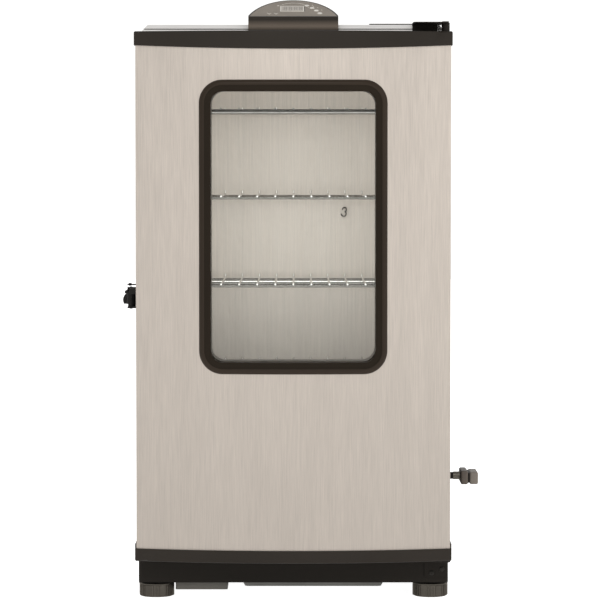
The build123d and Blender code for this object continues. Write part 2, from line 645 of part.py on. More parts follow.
def door_bottom_cap():
    """Moulded cap under the door's bottom edge, with a small ear up each side."""
    half = DOOR_W / 2 + CAP_OVERHANG
    cap = bowed(half, DOOR_BACK, -CAP_OVERHANG, TOE_BOTTOM, TOE_TOP)
    cap = fillet(cap.faces().sort_by(Axis.Z)[0].edges(), 3)
    for x in (-half + CAP_OVERHANG / 2, half - CAP_OVERHANG / 2):
        cap += block(x - CAP_OVERHANG / 2, x + CAP_OVERHANG / 2, DOOR_EDGE_FRONT, DOOR_BACK,
                     TOE_TOP - 4, TOE_TOP + TOE_EAR)
    cap -= bowed(DOOR_W / 2, DOOR_BACK + 10, 0, SKIN_BOTTOM, TOE_TOP + 20)
    cap -= upright(HINGE_X, HINGE_Y, TOE_BOTTOM - 2, TOE_BOTTOM + 16, HINGE_PIN_R + PIN_PLAY)
    return cap


def window_hole(grow, y0, y1):
    """The window's opening made larger all round by grow, as a solid from y0 back to y1."""
    return rounded_front(-PANE_W / 2 - grow, PANE_W / 2 + grow, PANE_BOTTOM - grow, PANE_TOP + grow,
                         PANE_CORNER + grow, y0, y1)


def door_liner():
    """Bright inner pan of the door with a stiffening rib round the window."""
    half = DOOR_W / 2 - SHEET - GAP
    pan = block(-half, half, DOOR_BACK - 2, DOOR_BACK, SKIN_BOTTOM + GAP, SKIN_TOP - GAP)
    return pan - window_hole(WINDOW_LIP + GAP, DOOR_BACK - 5, DOOR_BACK + 5)


def door_insulation():
    """Filling between the door's skin and liner."""
    half = DOOR_W / 2 - SHEET - GAP
    wool = bowed(half, DOOR_BACK - 2, SHEET + GAP, SKIN_BOTTOM + GAP, SKIN_TOP - GAP)
    return wool - window_hole(WINDOW_LIP + GAP, DOOR_EDGE_FRONT - 60, DOOR_BACK + 5)


def door_gasket():
    """Soft seal round the chamber opening."""
    half = CAVITY_W / 2 + GASKET_GAP
    low = CAVITY_BOTTOM - GASKET_GAP
    high = CAVITY_TOP + GASKET_GAP
    ring = rounded_front(-half - GASKET_W, half + GASKET_W, low - GASKET_W, high + GASKET_W, 12,
                         DOOR_BACK, BODY_FRONT - 0.4)
    return ring - rounded_front(-half, half, low, high, 8, DOOR_BACK - 1, BODY_FRONT + 1)


def window_frame():
    """Moulded frame over the skin that follows its bow, with a sleeve back to the glass."""
    front = DOOR_EDGE_FRONT - DOOR_BOW - 20
    flange = rounded_front(-WINDOW_W / 2, WINDOW_W / 2, WINDOW_BOTTOM, WINDOW_TOP, WINDOW_CORNER,
                           front, GLASS_Y)
    proud = bowed(DOOR_W / 2, DOOR_BACK, -WINDOW_PROUD, WINDOW_BOTTOM - 20, WINDOW_TOP + 20)
    flange = (flange & proud) - bowed(DOOR_W / 2, DOOR_BACK + 1, 0, WINDOW_BOTTOM - 20, WINDOW_TOP + 20)
    sleeve = window_hole(WINDOW_LIP, front, GLASS_Y) & proud
    return (flange + sleeve) - window_hole(0, front - 1, GLASS_Y + 1)


def window_glass():
    """Outer and inner panes."""
    outer = window_hole(WINDOW_LIP - GAP, GLASS_Y, GLASS_Y + GLASS)
    inner = window_hole(WINDOW_LIP - GAP, INNER_GLASS_Y, INNER_GLASS_Y + GLASS)
    return Compound(children=[outer, inner])


def window_inner_frame():
    """Spacer between the panes and the retaining frame on the chamber side."""
    spacer = window_hole(WINDOW_LIP - GAP, GLASS_Y + GLASS, INNER_GLASS_Y)
    spacer -= window_hole(0, GLASS_Y, INNER_GLASS_Y + 5)
    plug = window_hole(WINDOW_LIP - GAP, INNER_GLASS_Y + GLASS, DOOR_BACK)
    rim = window_hole(WINDOW_LIP + 12, DOOR_BACK, DOOR_BACK + 2)
    retainer = plug + rim - window_hole(0, INNER_GLASS_Y, DOOR_BACK + 5)
    return Compound(children=[spacer, retainer])


def latch_keeper():
    """Lip on the door's left side that the latch's strap reaches."""
    side = -DOOR_W / 2
    plate = block(side - 1.5, side, -246, -212, LATCH_Z + 8, LATCH_Z + 22)
    lip = block(side - 12, side, -240, -236, LATCH_Z + 10, LATCH_Z + 20)
    lip += block(side - 12, side - 10, -240, -230, LATCH_Z + 10, LATCH_Z + 20)
    return plate + lip


# ------------------------------------------------------------------ latch

def latch_base():
    """Plate, ears and pivot pin of the draw latch on the cabinet's left side."""
    wall = -BODY_W / 2
    plate = block(wall - 3, wall, LATCH_Y - 26, LATCH_Y + 30, LATCH_Z - 20, LATCH_Z + 30)
    plate = fillet(plate.edges().filter_by(Axis.X), 4)
    for z in (LATCH_Z - 18, LATCH_Z + 16):
        plate += block(LATCH_X - 6, wall, LATCH_Y - 8, LATCH_Y + 5, z, z + 3)
    plate += bar_x(wall - 20.5, wall, LATCH_Y, LATCH_Z + 23.5, 1.3)
    plate += upright(wall - 15.5, LATCH_Y, LATCH_Z + 21.3, LATCH_Z + 26, 2.6)
    return plate + upright(LATCH_X, LATCH_Y, LATCH_Z - 19, LATCH_Z + 20, LATCH_PIN_R)


def latch_lever():
    """Curved lever that swings out about the upright pin."""
    low, high = LATCH_Z - 14.5, LATCH_Z + 11
    inner = -BODY_W / 2 - 3.6
    outline = [
        Line((inner, low), (inner, high)),
        Line((inner, high), (LATCH_X, high)),
        ThreePointArc((LATCH_X, high), (LATCH_X - 13.5, LATCH_Z + 1), (LATCH_X - 10, low + 1)),
        Line((LATCH_X - 10, low + 1), (LATCH_X - 6, low + 1)),
        Line((LATCH_X - 6, low + 1), (LATCH_X - 4, low + 5)),
        Line((LATCH_X - 4, low + 5), (LATCH_X + 1, low + 5)),
        Line((LATCH_X + 1, low + 5), (LATCH_X + 1, low)),
        Line((LATCH_X + 1, low), (inner, low)),
    ]
    grip = Plane.XZ * Pos(0, 0, -LATCH_Y - 46) * extrude(make_face(outline), 46)
    knuckle = upright(LATCH_X, LATCH_Y, low, high, 8.5)
    lever = grip + knuckle
    lever -= block(LATCH_X - 20, LATCH_X - 5, LATCH_Y - 10, LATCH_Y + 60, low - 1, low + 4)
    lever -= upright(LATCH_X, LATCH_Y, low - 5, high + 5, LATCH_PIN_R + PIN_PLAY)
    lever -= upright(LATCH_X, LATCH_Y + LATCH_THROW, high - 8, high + 5, 1.5 + PIN_PLAY)
    return lever


def latch_strap():
    """Strap that the lever pushes forward to free the door."""
    low, high = LATCH_Z + 11.5, LATCH_Z + 15.5
    strap = block(LATCH_X - 6.5, LATCH_X - 3.5, -246, LATCH_Y + LATCH_THROW, low, high)
    boss = upright(LATCH_X, LATCH_Y + LATCH_THROW, low, high, 3.0)
    boss += block(LATCH_X - 6, LATCH_X, LATCH_Y + LATCH_THROW - 1, LATCH_Y + LATCH_THROW + 3, low, high)
    return strap + boss + upright(LATCH_X, LATCH_Y + LATCH_THROW, low - 7, low + 1, 1.5)


# ------------------------------------------------------------------ hinges

def top_hinge_bracket():
    """Plate on the raised top that reaches over the door's cap, with a long stay arm."""
    plate = block(206, 267, BODY_FRONT - 56, BODY_FRONT + 38, PANEL_TOP, PANEL_TOP + BRACKET_T)
    plate = fillet(plate.edges().filter_by(Axis.Z), 8)
    arm = block(132, 210, BODY_FRONT + 22, BODY_FRONT + 34, PANEL_TOP, PANEL_TOP + BRACKET_T)
    collar = upright(HINGE_X, HINGE_Y, CAP_TOP + 0.5, PANEL_TOP + 1, 7)
    skirt = block(206, 249, BODY_FRONT - 2.5, BODY_FRONT - 0.5, CAP_TOP + 0.8, PANEL_TOP + 1)
    bracket = plate + arm + collar + skirt
    return bracket - upright(HINGE_X, HINGE_Y, CAP_TOP - 5, PANEL_TOP + 10, HINGE_PIN_R)


def bottom_hinge_bracket():
    """Angle on the base's front with a tongue under the door."""
    front = BODY_FRONT - 4
    leg = block(228, 268, front - 2, front, BASE_BOTTOM + 10, TOE_BOTTOM - 0.6)
    tongue = block(240, 272, HINGE_Y - 10, front, TOE_BOTTOM - 3.6, TOE_BOTTOM - 0.6)
    tongue = fillet(tongue.edges().filter_by(Axis.Z).group_by(Axis.Y)[0], 8)
    return leg + tongue - upright(HINGE_X, HINGE_Y, TOE_BOTTOM - 20, TOE_BOTTOM + 5, HINGE_PIN_R)


def hinge_pins():
    """Upper and lower hinge pins with their heads."""
    upper = upright(HINGE_X, HINGE_Y, CAP_TOP - 18, PANEL_TOP + BRACKET_T, HINGE_PIN_R)
    upper += upright(HINGE_X, HINGE_Y, PANEL_TOP + BRACKET_T, PANEL_TOP + BRACKET_T + 1.5, 6)
    lower = upright(HINGE_X, HINGE_Y, TOE_BOTTOM - 3.6, TOE_BOTTOM + 14, HINGE_PIN_R)
    lower += upright(HINGE_X, HINGE_Y, TOE_BOTTOM - 6, TOE_BOTTOM - 3.6, 6)
    return Compound(children=[upper, lower])


def cabinet_screws():
    """Pan-head screws of the hinge brackets and the latch."""
    heads = []
    for y in (BODY_FRONT + 8, BODY_FRONT + 28):
        for x in (221, 252):
            heads.append(upright(x, y, PANEL_TOP + BRACKET_T, PANEL_TOP + BRACKET_T + 2.4, 5.5))
    front = BODY_FRONT - 6
    for x, z in ((241, 44), (259, 51)):
        heads.append(bar_y(x, front - 2.2, front, z, 4.5))
    for y in (LATCH_Y - 18, LATCH_Y + 22):
        z = LATCH_Z + 18 if y > LATCH_Y else LATCH_Z - 8
        heads.append(bar_x(-BODY_W / 2 - 5, -BODY_W / 2 - 3, y, z, 3.5))
    return Compound(children=heads)


# ------------------------------------------------------------------ controller

def controller_housing():
    """Hollow moulded wedge with a shallow seat for the face plate."""
    solid = Pos(0, 0, TOP_Z) * extrude(control_plan(0), 80) - above_face(0)
    hollow = Pos(0, 0, TOP_Z + 2) * extrude(control_plan(CONTROL_WALL), 80) - above_face(ROOF_T)
    seat = (Pos(0, 0, TOP_Z) * extrude(control_plan(3.0), 80)) & above_face(FACE_T)
    housing = solid - hollow - seat
    for x, y in BUTTONS_AT:
        housing -= FACE * Pos(x, y, -3) * Cylinder(BUTTON_R + GAP, 12)
    for x, y in ((-50, 16), (42, 61), (-40, 61), (22, 16)):
        housing += FACE * Pos(x, y, -(ROOF_T + BOARD_DEPTH) / 2) * Cylinder(3, BOARD_DEPTH - ROOF_T)
    return housing


def controller_faceplate():
    """Glossy face plate with openings for the screen and the buttons."""
    plate = ((Pos(0, 0, TOP_Z) * extrude(control_plan(3.2), 80)) & above_face(FACE_T)) - above_face(0)
    plate -= FACE * Pos(*SCREEN_AT, 0) * Box(SCREEN_W + 0.2, SCREEN_H + 0.2, 12)
    for x, y in BUTTONS_AT:
        plate -= FACE * Pos(x, y, 0) * Cylinder(BUTTON_R + GAP, 12)
    return plate


def display_window():
    """Clear window of the screen."""
    return FACE * Pos(*SCREEN_AT, -FACE_T / 2) * Box(SCREEN_W, SCREEN_H, FACE_T)


def circuit_board():
    """Board under the face with its display block and switches."""
    board = FACE * Pos(0, 40, -BOARD_DEPTH - 0.8) * Box(112, 60, 1.6)
    board += FACE * Pos(SCREEN_AT[0], SCREEN_AT[1], -9.0) * Box(36, 24, 4.2)
    board += FACE * Pos(-36, 40, -9.6) * Box(10, 14, 3)
    for x, y in BUTTONS_AT:
        board += FACE * Pos(x, y, -9.0) * Cylinder(2.4, 4.4)
    return board & (Pos(0, 0, TOP_Z + 2.5) * extrude(control_plan(CONTROL_WALL + 0.6), 80))


def control_button(at):
    """One round push button."""
    x, y = at
    button = FACE * Pos(x, y, -1.9) * Cylinder(BUTTON_R, 6.2)
    return fillet(button.edges().sort_by(Axis.Z)[-1:], 0.8)


# ------------------------------------------------------------------ loose pans

def water_bowl():
    """Open pan for water on top of the chip housing."""
    x0, x1 = HOUSING_X0 + 6, HOUSING_X1 - 6
    y0, y1 = HOUSING_Y0 + 20, HOUSING_Y1 - 20
    bowl = rounded_slab(x0, x1, y0, y1, BOWL_Z, BOWL_Z + 55, 22)
    bowl -= rounded_slab(x0 + 1.5, x1 - 1.5, y0 + 1.5, y1 - 1.5, BOWL_Z + 1.5, BOWL_Z + 60, 20.5)
    rim = rounded_slab(x0 - 5, x1 + 5, y0 - 5, y1 + 5, BOWL_Z + 53.5, BOWL_Z + 55, 26)
    rim -= rounded_slab(x0 + 1, x1 - 1, y0 + 1, y1 - 1, BOWL_Z + 50, BOWL_Z + 60, 21)
    return bowl + rim


def drip_pan():
    """Wide shallow pan under the racks with a drain hole."""
    half = RACK_W / 2 - 1
    pan = rounded_slab(-half, half, RACK_FRONT + 6, RACK_REAR - 4, PAN_LEDGE_Z, PAN_LEDGE_Z + 16, 10)
    pan -= rounded_slab(-half + 1.5, half - 1.5, RACK_FRONT + 7.5, RACK_REAR - 5.5, PAN_LEDGE_Z + 1.5,
                        PAN_LEDGE_Z + 20, 8.5)
    return pan - upright(DRAIN_X, DRAIN_Y, PAN_LEDGE_Z - 2, PAN_LEDGE_Z + 5, 9)


# ------------------------------------------------------------------ write every piece

PIECES = {
    "outer_shell": outer_shell,
    "top_panel": top_panel,
    "base_pan": base_pan,
    "foot_rails": foot_rails,
    "inner_liner": inner_liner,
    "wall_insulation": wall_insulation,
    "front_collar": front_collar,
    "rack_supports": rack_supports,
    "temperature_sensor": temperature_sensor,
    "heating_element": heating_element,
    "rear_service_cover": rear_service_cover,
    "chip_housing": chip_housing,
    "chip_tray": chip_tray,
    "loader_sleeve": loader_sleeve,
    "loader_bearing_ring": loader_bearing_ring,
    "loader_scoop": loader_scoop,
    "loader_handle": loader_handle,
    "vent_collar": vent_collar,
    "damper_disc": damper_disc,
    "rear_handle": rear_handle,
    "power_box": power_box,
    "cord_inlet": cord_inlet,
    "grease_tray_rails": grease_tray_rails,
    "grease_tray": grease_tray,
    "grease_drain": grease_drain,
    "door_skin": door_skin,
    "door_top_cap": door_top_cap,
    "door_bottom_cap": door_bottom_cap,
    "door_liner": door_liner,
    "door_insulation": door_insulation,
    "door_gasket": door_gasket,
    "window_frame": window_frame,
    "window_glass": window_glass,
    "window_inner_frame": window_inner_frame,
    "latch_keeper": latch_keeper,
    "latch_base": latch_base,
    "latch_lever": latch_lever,
    "latch_strap": latch_strap,
    "top_hinge_bracket": top_hinge_bracket,
    "bottom_hinge_bracket": bottom_hinge_bracket,
    "hinge_pins": hinge_pins,
    "cabinet_screws": cabinet_screws,
    "controller_housing": controller_housing,
    "controller_faceplate": controller_faceplate,
    "display_window": display_window,
    "circuit_board": circuit_board,
    "water_bowl": water_bowl,
    "drip_pan": drip_pan,
}

for name, make in PIECES.items():
    save(make(), name)

one_rack = rack()
for index, level in enumerate(RACK_LEVELS):
    save(Pos(0, 0, level) * one_rack, f"rack_{index + 1}")

for side, x in (("left", -FOOT_X), ("right", FOOT_X)):
    for place, y in (("front", FOOT_Y_FRONT), ("rear", FOOT_Y_REAR)):
        save(Pos(x, y, 0) * foot(), f"foot_{place}_{side}")

for index, at in enumerate(BUTTONS_AT):
    save(control_button(at), f"control_button_{index + 1}")
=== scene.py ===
# %% [markdown]
# # An electric cabinet smoker, dressed in Blender
# The cabinet, door, racks and joints come from a CAD model, which this lesson loads and never moves.
# Blender's job is what the eye sees: softened edges, wires, mouldings, screws, and the finish of every
# surface.  Everything is in metres, the door faces -Y, +X is the right-hand side and +Z is up.

# %% Load the fixed frame
import json
from math import atan2, cos, pi, radians, sin
import bmesh
import bpy
from mathutils import Matrix, Vector


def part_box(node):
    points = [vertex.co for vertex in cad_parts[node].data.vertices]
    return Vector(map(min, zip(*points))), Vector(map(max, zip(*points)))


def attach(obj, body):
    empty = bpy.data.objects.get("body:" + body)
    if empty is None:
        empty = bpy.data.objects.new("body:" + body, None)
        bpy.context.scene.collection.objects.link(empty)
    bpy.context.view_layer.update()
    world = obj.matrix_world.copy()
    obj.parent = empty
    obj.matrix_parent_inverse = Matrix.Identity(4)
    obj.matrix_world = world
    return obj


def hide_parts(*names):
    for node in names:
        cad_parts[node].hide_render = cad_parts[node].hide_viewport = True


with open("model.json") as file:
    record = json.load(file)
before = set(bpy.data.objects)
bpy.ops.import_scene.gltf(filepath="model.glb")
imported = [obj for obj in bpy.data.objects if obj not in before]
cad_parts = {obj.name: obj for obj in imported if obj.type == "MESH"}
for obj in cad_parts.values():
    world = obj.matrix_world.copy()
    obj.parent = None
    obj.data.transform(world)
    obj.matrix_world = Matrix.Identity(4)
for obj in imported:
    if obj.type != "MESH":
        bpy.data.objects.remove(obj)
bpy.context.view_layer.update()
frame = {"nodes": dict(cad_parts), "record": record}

NODES = frame["nodes"]
BODY_OF = {node: body for body, nodes in frame["record"]["behaviour"]["bodies"].items() for node in nodes}
SLOT_OF = {part["node"]: part["material_slot"] for part in frame["record"]["subparts"]}
MM = 0.001

# %% [markdown]
# ## The view
# A catalogue shot of a tall cabinet is taken from far away with a long lens, so that its sides hardly
# converge.  The camera stands a little over five metres off, at about the height of the upper racks, and
# looks slightly down.

# %% Camera
camera = bpy.data.objects.new("camera", bpy.data.cameras.new("camera"))
bpy.context.scene.collection.objects.link(camera)
camera.data.lens = 181.0
camera.data.clip_end = 200.0
camera.location = (0.0116, -5.4385, 0.7623)
camera.rotation_euler = (radians(90 - 2.645), 0, 0)
bpy.context.scene.camera = camera
bpy.context.scene.view_settings.view_transform = "Standard"
print("camera", tuple(camera.location), "lens", camera.data.lens)

# %% [markdown]
# ## Light and floor
# Steel shows what stands round it.  A wide pale surround gives the door its even tone, one large soft
# light from the front left and a smaller one from the right give it a slight fall-off, and a panel just
# inside the cabinet's mouth lights the chamber, which would be dark behind its small window.

# %% Surround, lights and floor
world = bpy.data.worlds.new("pale surround")
bpy.context.scene.world = world
world.use_nodes = True
backdrop = world.node_tree.nodes["Background"]
backdrop.inputs["Color"].default_value = (1.0, 0.995, 0.985, 1)
rays = world.node_tree.nodes.new("ShaderNodeLightPath")
level = world.node_tree.nodes.new("ShaderNodeMapRange")
level.inputs["To Min"].default_value = 0.60
level.inputs["To Max"].default_value = 1.12
world.node_tree.links.new(rays.outputs["Is Camera Ray"], level.inputs["Value"])
world.node_tree.links.new(level.outputs["Result"], backdrop.inputs["Strength"])


def soft_light(name, place, aim, size, power, colour=(1, 1, 1)):
    """A square area light at a place, turned towards a point."""
    lamp = bpy.data.lights.new(name, "AREA")
    lamp.shape = "RECTANGLE"
    lamp.size, lamp.size_y = size
    lamp.energy = power
    lamp.color = colour
    holder = bpy.data.objects.new(name, lamp)
    bpy.context.scene.collection.objects.link(holder)
    holder.location = place
    holder.rotation_euler = (Vector(aim) - Vector(place)).to_track_quat("-Z", "Y").to_euler()
    return holder


def bare_object(name, mesh_data):
    """A new object at the origin, linked to the scene."""
    made = bpy.data.objects.new(name, mesh_data)
    bpy.context.scene.collection.objects.link(made)
    return made


soft_light("front_light", (-0.2, -4.4, 3.0), (0, 0, 0.7), (1.6, 2.0), 34)
soft_light("side_light", (2.8, -2.2, 1.6), (0, 0, 0.5), (1.2, 2.0), 12)
chamber_light = soft_light("chamber_light", (0, -0.192, 0.60), (0, 0.1, 0.58), (0.42, 0.64), 1.55)
chamber_light.visible_camera = False

floor_mesh = bmesh.new()
bmesh.ops.create_circle(floor_mesh, cap_ends=True, segments=96, radius=14)
floor_data = bpy.data.meshes.new("floor")
floor_mesh.to_mesh(floor_data)
floor_mesh.free()
floor = bare_object("floor", floor_data)

# %% [markdown]
# ## Tools for finishes
# Each finish is a small tree of nodes.  These helpers make the shader, add a noise that is measured in
# real units on Object coordinates, and turn a noise into bumps, so that the recipes below stay short.

# %% Shader helpers


class Finish:
    """A material and short ways to add to it."""

    def __init__(self, name, colour, roughness, metallic=0.0, coat=0.0):
        self.material = bpy.data.materials.new(name)
        self.material.use_nodes = True
        self.tree = self.material.node_tree
        self.shader = self.tree.nodes["Principled BSDF"]
        self.coordinates = self.tree.nodes.new("ShaderNodeTexCoord").outputs["Object"]
        self.colour = colour
        self.shader.inputs["Base Color"].default_value = (*colour, 1)
        self.shader.inputs["Roughness"].default_value = roughness
        self.shader.inputs["Metallic"].default_value = metallic
        self.shader.inputs["Coat Weight"].default_value = coat
        self.height = None

    def link(self, source, target):
        self.tree.links.new(source, target)

    def noise(self, scale, detail=3.0, rough=0.5):
        """A noise whose scale is given as repeats per metre along X, Y and Z."""
        mapping = self.tree.nodes.new("ShaderNodeMapping")
        mapping.inputs["Scale"].default_value = scale if isinstance(scale, tuple) else (scale,) * 3
        texture = self.tree.nodes.new("ShaderNodeTexNoise")
        texture.inputs["Scale"].default_value = 1.0
        texture.inputs["Detail"].default_value = detail
        texture.inputs["Roughness"].default_value = rough
        self.link(self.coordinates, mapping.inputs["Vector"])
        self.link(mapping.outputs["Vector"], texture.inputs["Vector"])
        return texture.outputs["Fac"]

    def spread(self, source, low, high, start=0.3, stop=0.7):
        """The source, from start to stop, spread over low to high."""
        spread = self.tree.nodes.new("ShaderNodeMapRange")
        spread.inputs["From Min"].default_value = start
        spread.inputs["From Max"].default_value = stop
        spread.inputs["To Min"].default_value = low
        spread.inputs["To Max"].default_value = high
        self.link(source, spread.inputs["Value"])
        return spread.outputs["Result"]

    def along(self, axis):
        """The place along X, Y or Z, in metres."""
        split = self.tree.nodes.new("ShaderNodeSeparateXYZ")
        self.link(self.coordinates, split.inputs["Vector"])
        return split.outputs[axis]

    def shade(self, factor):
        """Multiplies the colour by a factor that varies over the surface."""
        mix = self.tree.nodes.new("ShaderNodeMix")
        mix.data_type = "RGBA"
        mix.blend_type = "MULTIPLY"
        mix.inputs["Factor"].default_value = 1.0
        socket = self.shader.inputs["Base Color"]
        if socket.is_linked:
            self.link(socket.links[0].from_socket, mix.inputs["A"])
        else:
            mix.inputs["A"].default_value = (*self.colour, 1)
        self.link(factor, mix.inputs["B"])
        self.link(mix.outputs["Result"], socket)

    def tint(self, factor, other):
        """Mixes the colour towards another one by a factor."""
        mix = self.tree.nodes.new("ShaderNodeMix")
        mix.data_type = "RGBA"
        socket = self.shader.inputs["Base Color"]
        if socket.is_linked:
            self.link(socket.links[0].from_socket, mix.inputs["A"])
        else:
            mix.inputs["A"].default_value = (*self.colour, 1)
        mix.inputs["B"].default_value = (*other, 1)
        self.link(factor, mix.inputs["Factor"])
        self.link(mix.outputs["Result"], socket)

    def rough(self, value):
        self.link(value, self.shader.inputs["Roughness"])

    def bump(self, source, depth, strength=1.0):
        """Raises the surface by depth metres where the source is high."""
        node = self.tree.nodes.new("ShaderNodeBump")
        node.inputs["Strength"].default_value = strength
        node.inputs["Distance"].default_value = depth
        self.link(source, node.inputs["Height"])
        if self.height is not None:
            self.link(self.height, node.inputs["Normal"])
        self.height = node.outputs["Normal"]
        self.link(self.height, self.shader.inputs["Normal"])


# %% [markdown]
# ## Brushed steel
# The grain of brushed sheet is a comb of fine scratches, all one way.  A noise that is stretched a
# hundred times along the scratches gives them; a second, wider one gives the soft streaks that a belt
# leaves; both move the colour and the roughness a little, and the fine one also the surface.

# %% Steel finishes
DOOR_TONE = (0.66, 0.592, 0.527)


def brushed(name, tone, roughness, long_axis=2, fine=900.0, streak=45.0, metallic=0.75, contrast=0.11):
    """Brushed sheet with its grain along one axis."""
    steel = Finish(name, tone, roughness, metallic)
    fine_scale = [fine] * 3
    fine_scale[long_axis] = fine / 50
    wide_scale = [streak] * 3
    wide_scale[long_axis] = streak / 14
    grain = steel.noise(tuple(fine_scale), 4.0, 0.65)
    belt = steel.noise(tuple(wide_scale), 3.0, 0.55)
    steel.shade(steel.spread(grain, 1.0 - contrast, 1.0 + contrast))
    steel.shade(steel.spread(belt, 1.0 - contrast / 4, 1.0 + contrast / 4))
    steel.rough(steel.spread(grain, roughness - 0.07, roughness + 0.09))
    steel.bump(grain, 0.00002)
    return steel


door_steel = brushed("door_steel", DOOR_TONE, 0.42)
# The door's steel is painted darker towards its foot: painted shade for the light that falls off lower down.
door_steel.shade(door_steel.spread(door_steel.along("Z"), 0.84, 1.0, 0.15, 0.70))
lid_steel = brushed("lid_steel", (0.94, 0.92, 0.90), 0.36, long_axis=0, metallic=0.3)
chamber_steel = brushed("chamber_steel", (0.60, 0.548, 0.494), 0.50, fine=350.0, streak=25.0, metallic=0.5, contrast=0.12)
# The chamber's walls are painted darker towards the bottom: painted shade low in the chamber, away from its light.
chamber_steel.shade(chamber_steel.spread(chamber_steel.along("Z"), 0.70, 1.0, 0.36, 0.56))
chamber_steel.bump(chamber_steel.noise((55.0, 55.0, 35.0), 1.0), 0.0007)
bowl_steel = brushed("bowl_steel", (0.66, 0.64, 0.61), 0.28, long_axis=1, fine=400.0)

rack_chrome = Finish("rack_chrome", (0.70, 0.685, 0.66), 0.16, 1.0)
rack_chrome.rough(rack_chrome.spread(rack_chrome.noise(160.0), 0.10, 0.30))
rack_chrome.shade(rack_chrome.spread(rack_chrome.noise(60.0), 0.9, 1.05))
# The rim and the front cross rod are the same chrome as the wires, painted far darker: painted shade that keeps them a
# dark line rather than a bright reflection of the chamber light.
shaded_rim_chrome = Finish("shaded_rim_chrome", (0.15, 0.143, 0.13), 0.16, 1.0)
shaded_rim_chrome.rough(shaded_rim_chrome.spread(shaded_rim_chrome.noise(160.0), 0.12, 0.26))
shaded_rim_chrome.shade(shaded_rim_chrome.spread(shaded_rim_chrome.noise(60.0), 0.8, 1.1))

bright_zinc = Finish("bright_zinc", (0.55, 0.54, 0.52), 0.3, 1.0)
bright_zinc.rough(bright_zinc.spread(bright_zinc.noise(700.0), 0.22, 0.42))
bright_zinc.shade(bright_zinc.spread(bright_zinc.noise(90.0), 0.85, 1.05))

neck_steel = brushed("neck_steel", (0.17, 0.155, 0.13), 0.3, long_axis=0, fine=1500.0)
tip_plastic_tone = (0.30, 0.262, 0.225)

tray_coat = Finish("tray_coat", (0.19, 0.186, 0.171), 0.5, 0.35)
tray_coat.rough(tray_coat.spread(tray_coat.noise(120.0), 0.42, 0.6))
tray_coat.shade(tray_coat.spread(tray_coat.noise(30.0), 0.88, 1.08))
tray_coat.bump(tray_coat.noise(1400.0), 0.00003)

element_skin = Finish("element_skin", (0.10, 0.085, 0.075), 0.6, 0.5)
element_skin.tint(element_skin.spread(element_skin.noise(70.0), 0.0, 0.6), (0.16, 0.10, 0.07))
element_skin.bump(element_skin.noise(900.0), 0.00005)
print("steel finishes made")

# %% [markdown]
# ## Paint and plastics
# Powder coat on outdoor cookers has a fine pebble.  The caps, the window's moulding and the grips are
# plastic with a softer, finer texture and a warm dark brown cast.  Each has a bump from a fine noise and
# a slow drift in tone, because no large moulding is perfectly even.

# %% Paint and plastic finishes


def moulded(name, tone, roughness, grain=1500.0, depth=0.00003, drift=6.0, coat=0.0, metallic=0.0, mirror=0.2):
    """A plastic or paint with a fine pebble and a slow drift in tone."""
    finish = Finish(name, tone, roughness, metallic, coat)
    finish.shader.inputs["Specular IOR Level"].default_value = mirror
    finish.shader.inputs["Specular Tint"].default_value = (1.0, 0.93, 0.86, 1)
    pebble = finish.noise(grain, 2.0)
    finish.shade(finish.spread(finish.noise(drift), 0.90, 1.08))
    finish.rough(finish.spread(pebble, roughness - 0.05, roughness + 0.07))
    finish.bump(pebble, depth)
    return finish


case_paint = moulded("case_paint", (0.014, 0.0125, 0.011), 0.48, 700.0, 0.00009)
base_paint = moulded("base_paint", (0.012, 0.0100, 0.0078), 0.50, 800.0, 0.00006)
cap_plastic = moulded("cap_plastic", (0.026, 0.0215, 0.0175), 0.38, 1800.0, 0.00002)
frame_plastic = moulded("frame_plastic", (0.030, 0.0205, 0.0135), 0.36, 1800.0, 0.00002)
frame_shadow = moulded("frame_shadow", (0.020, 0.0145, 0.0095), 0.5, 1800.0, 0.00002, mirror=0.1)
latch_coat = moulded("latch_coat", (0.012, 0.012, 0.012), 0.34, 900.0, 0.00003, 40.0)
control_body = moulded("control_body", (0.016, 0.0125, 0.0095), 0.22, 2500.0, 0.000008, 10.0, mirror=0.3)
# The body is painted paler in a band across its front, a painted sheen, and darker towards its top edge, a painted
# shade under the lip.
painted_sheen_band = control_body.spread(control_body.along("Z"), 0.0, 1.0, 0.987, 0.994)
sheen_high = control_body.spread(control_body.along("Z"), 1.0, 0.0, 0.996, 1.006)
control_body.tint(painted_sheen_band, (0.20, 0.160, 0.126))
control_body.shade(control_body.spread(control_body.along("Z"), 1.0, 0.16, 0.996, 1.006))
control_face = moulded("control_face", (0.29, 0.252, 0.212), 0.42, 2200.0, 0.00001, 30.0)
grip_plastic = moulded("grip_plastic", (0.155, 0.130, 0.110), 0.36, 1300.0, 0.00004, 30.0)
dark_grip = moulded("dark_grip", (0.020, 0.018, 0.016), 0.45, 1300.0, 0.00004, 30.0)
button_plastic = moulded("button_plastic", (0.88, 0.84, 0.78), 0.4, 2000.0, 0.00001, 60.0)
symbol_ink = moulded("symbol_ink", (0.82, 0.78, 0.71), 0.5, 2000.0, 0.000005, 60.0)
box_coat = moulded("box_coat", (0.165, 0.157, 0.140), 0.45, 900.0, 0.00004, 20.0)
zinc_sheet = moulded("zinc_sheet", (0.42, 0.42, 0.41), 0.42, 300.0, 0.00003, 40.0, metallic=0.8)
foot_coat = moulded("foot_coat", (0.125, 0.112, 0.094), 0.36, 900.0, 0.00004, 60.0, metallic=0.6)
seal_rubber = moulded("seal_rubber", (0.035, 0.034, 0.033), 0.62, 1200.0, 0.00005, 30.0)
board_lacquer = moulded("board_lacquer", (0.02, 0.12, 0.05), 0.3, 1500.0, 0.00002, 60.0)
wool_fibre = moulded("wool_fibre", (0.55, 0.47, 0.27), 0.9, 500.0, 0.0006, 25.0)
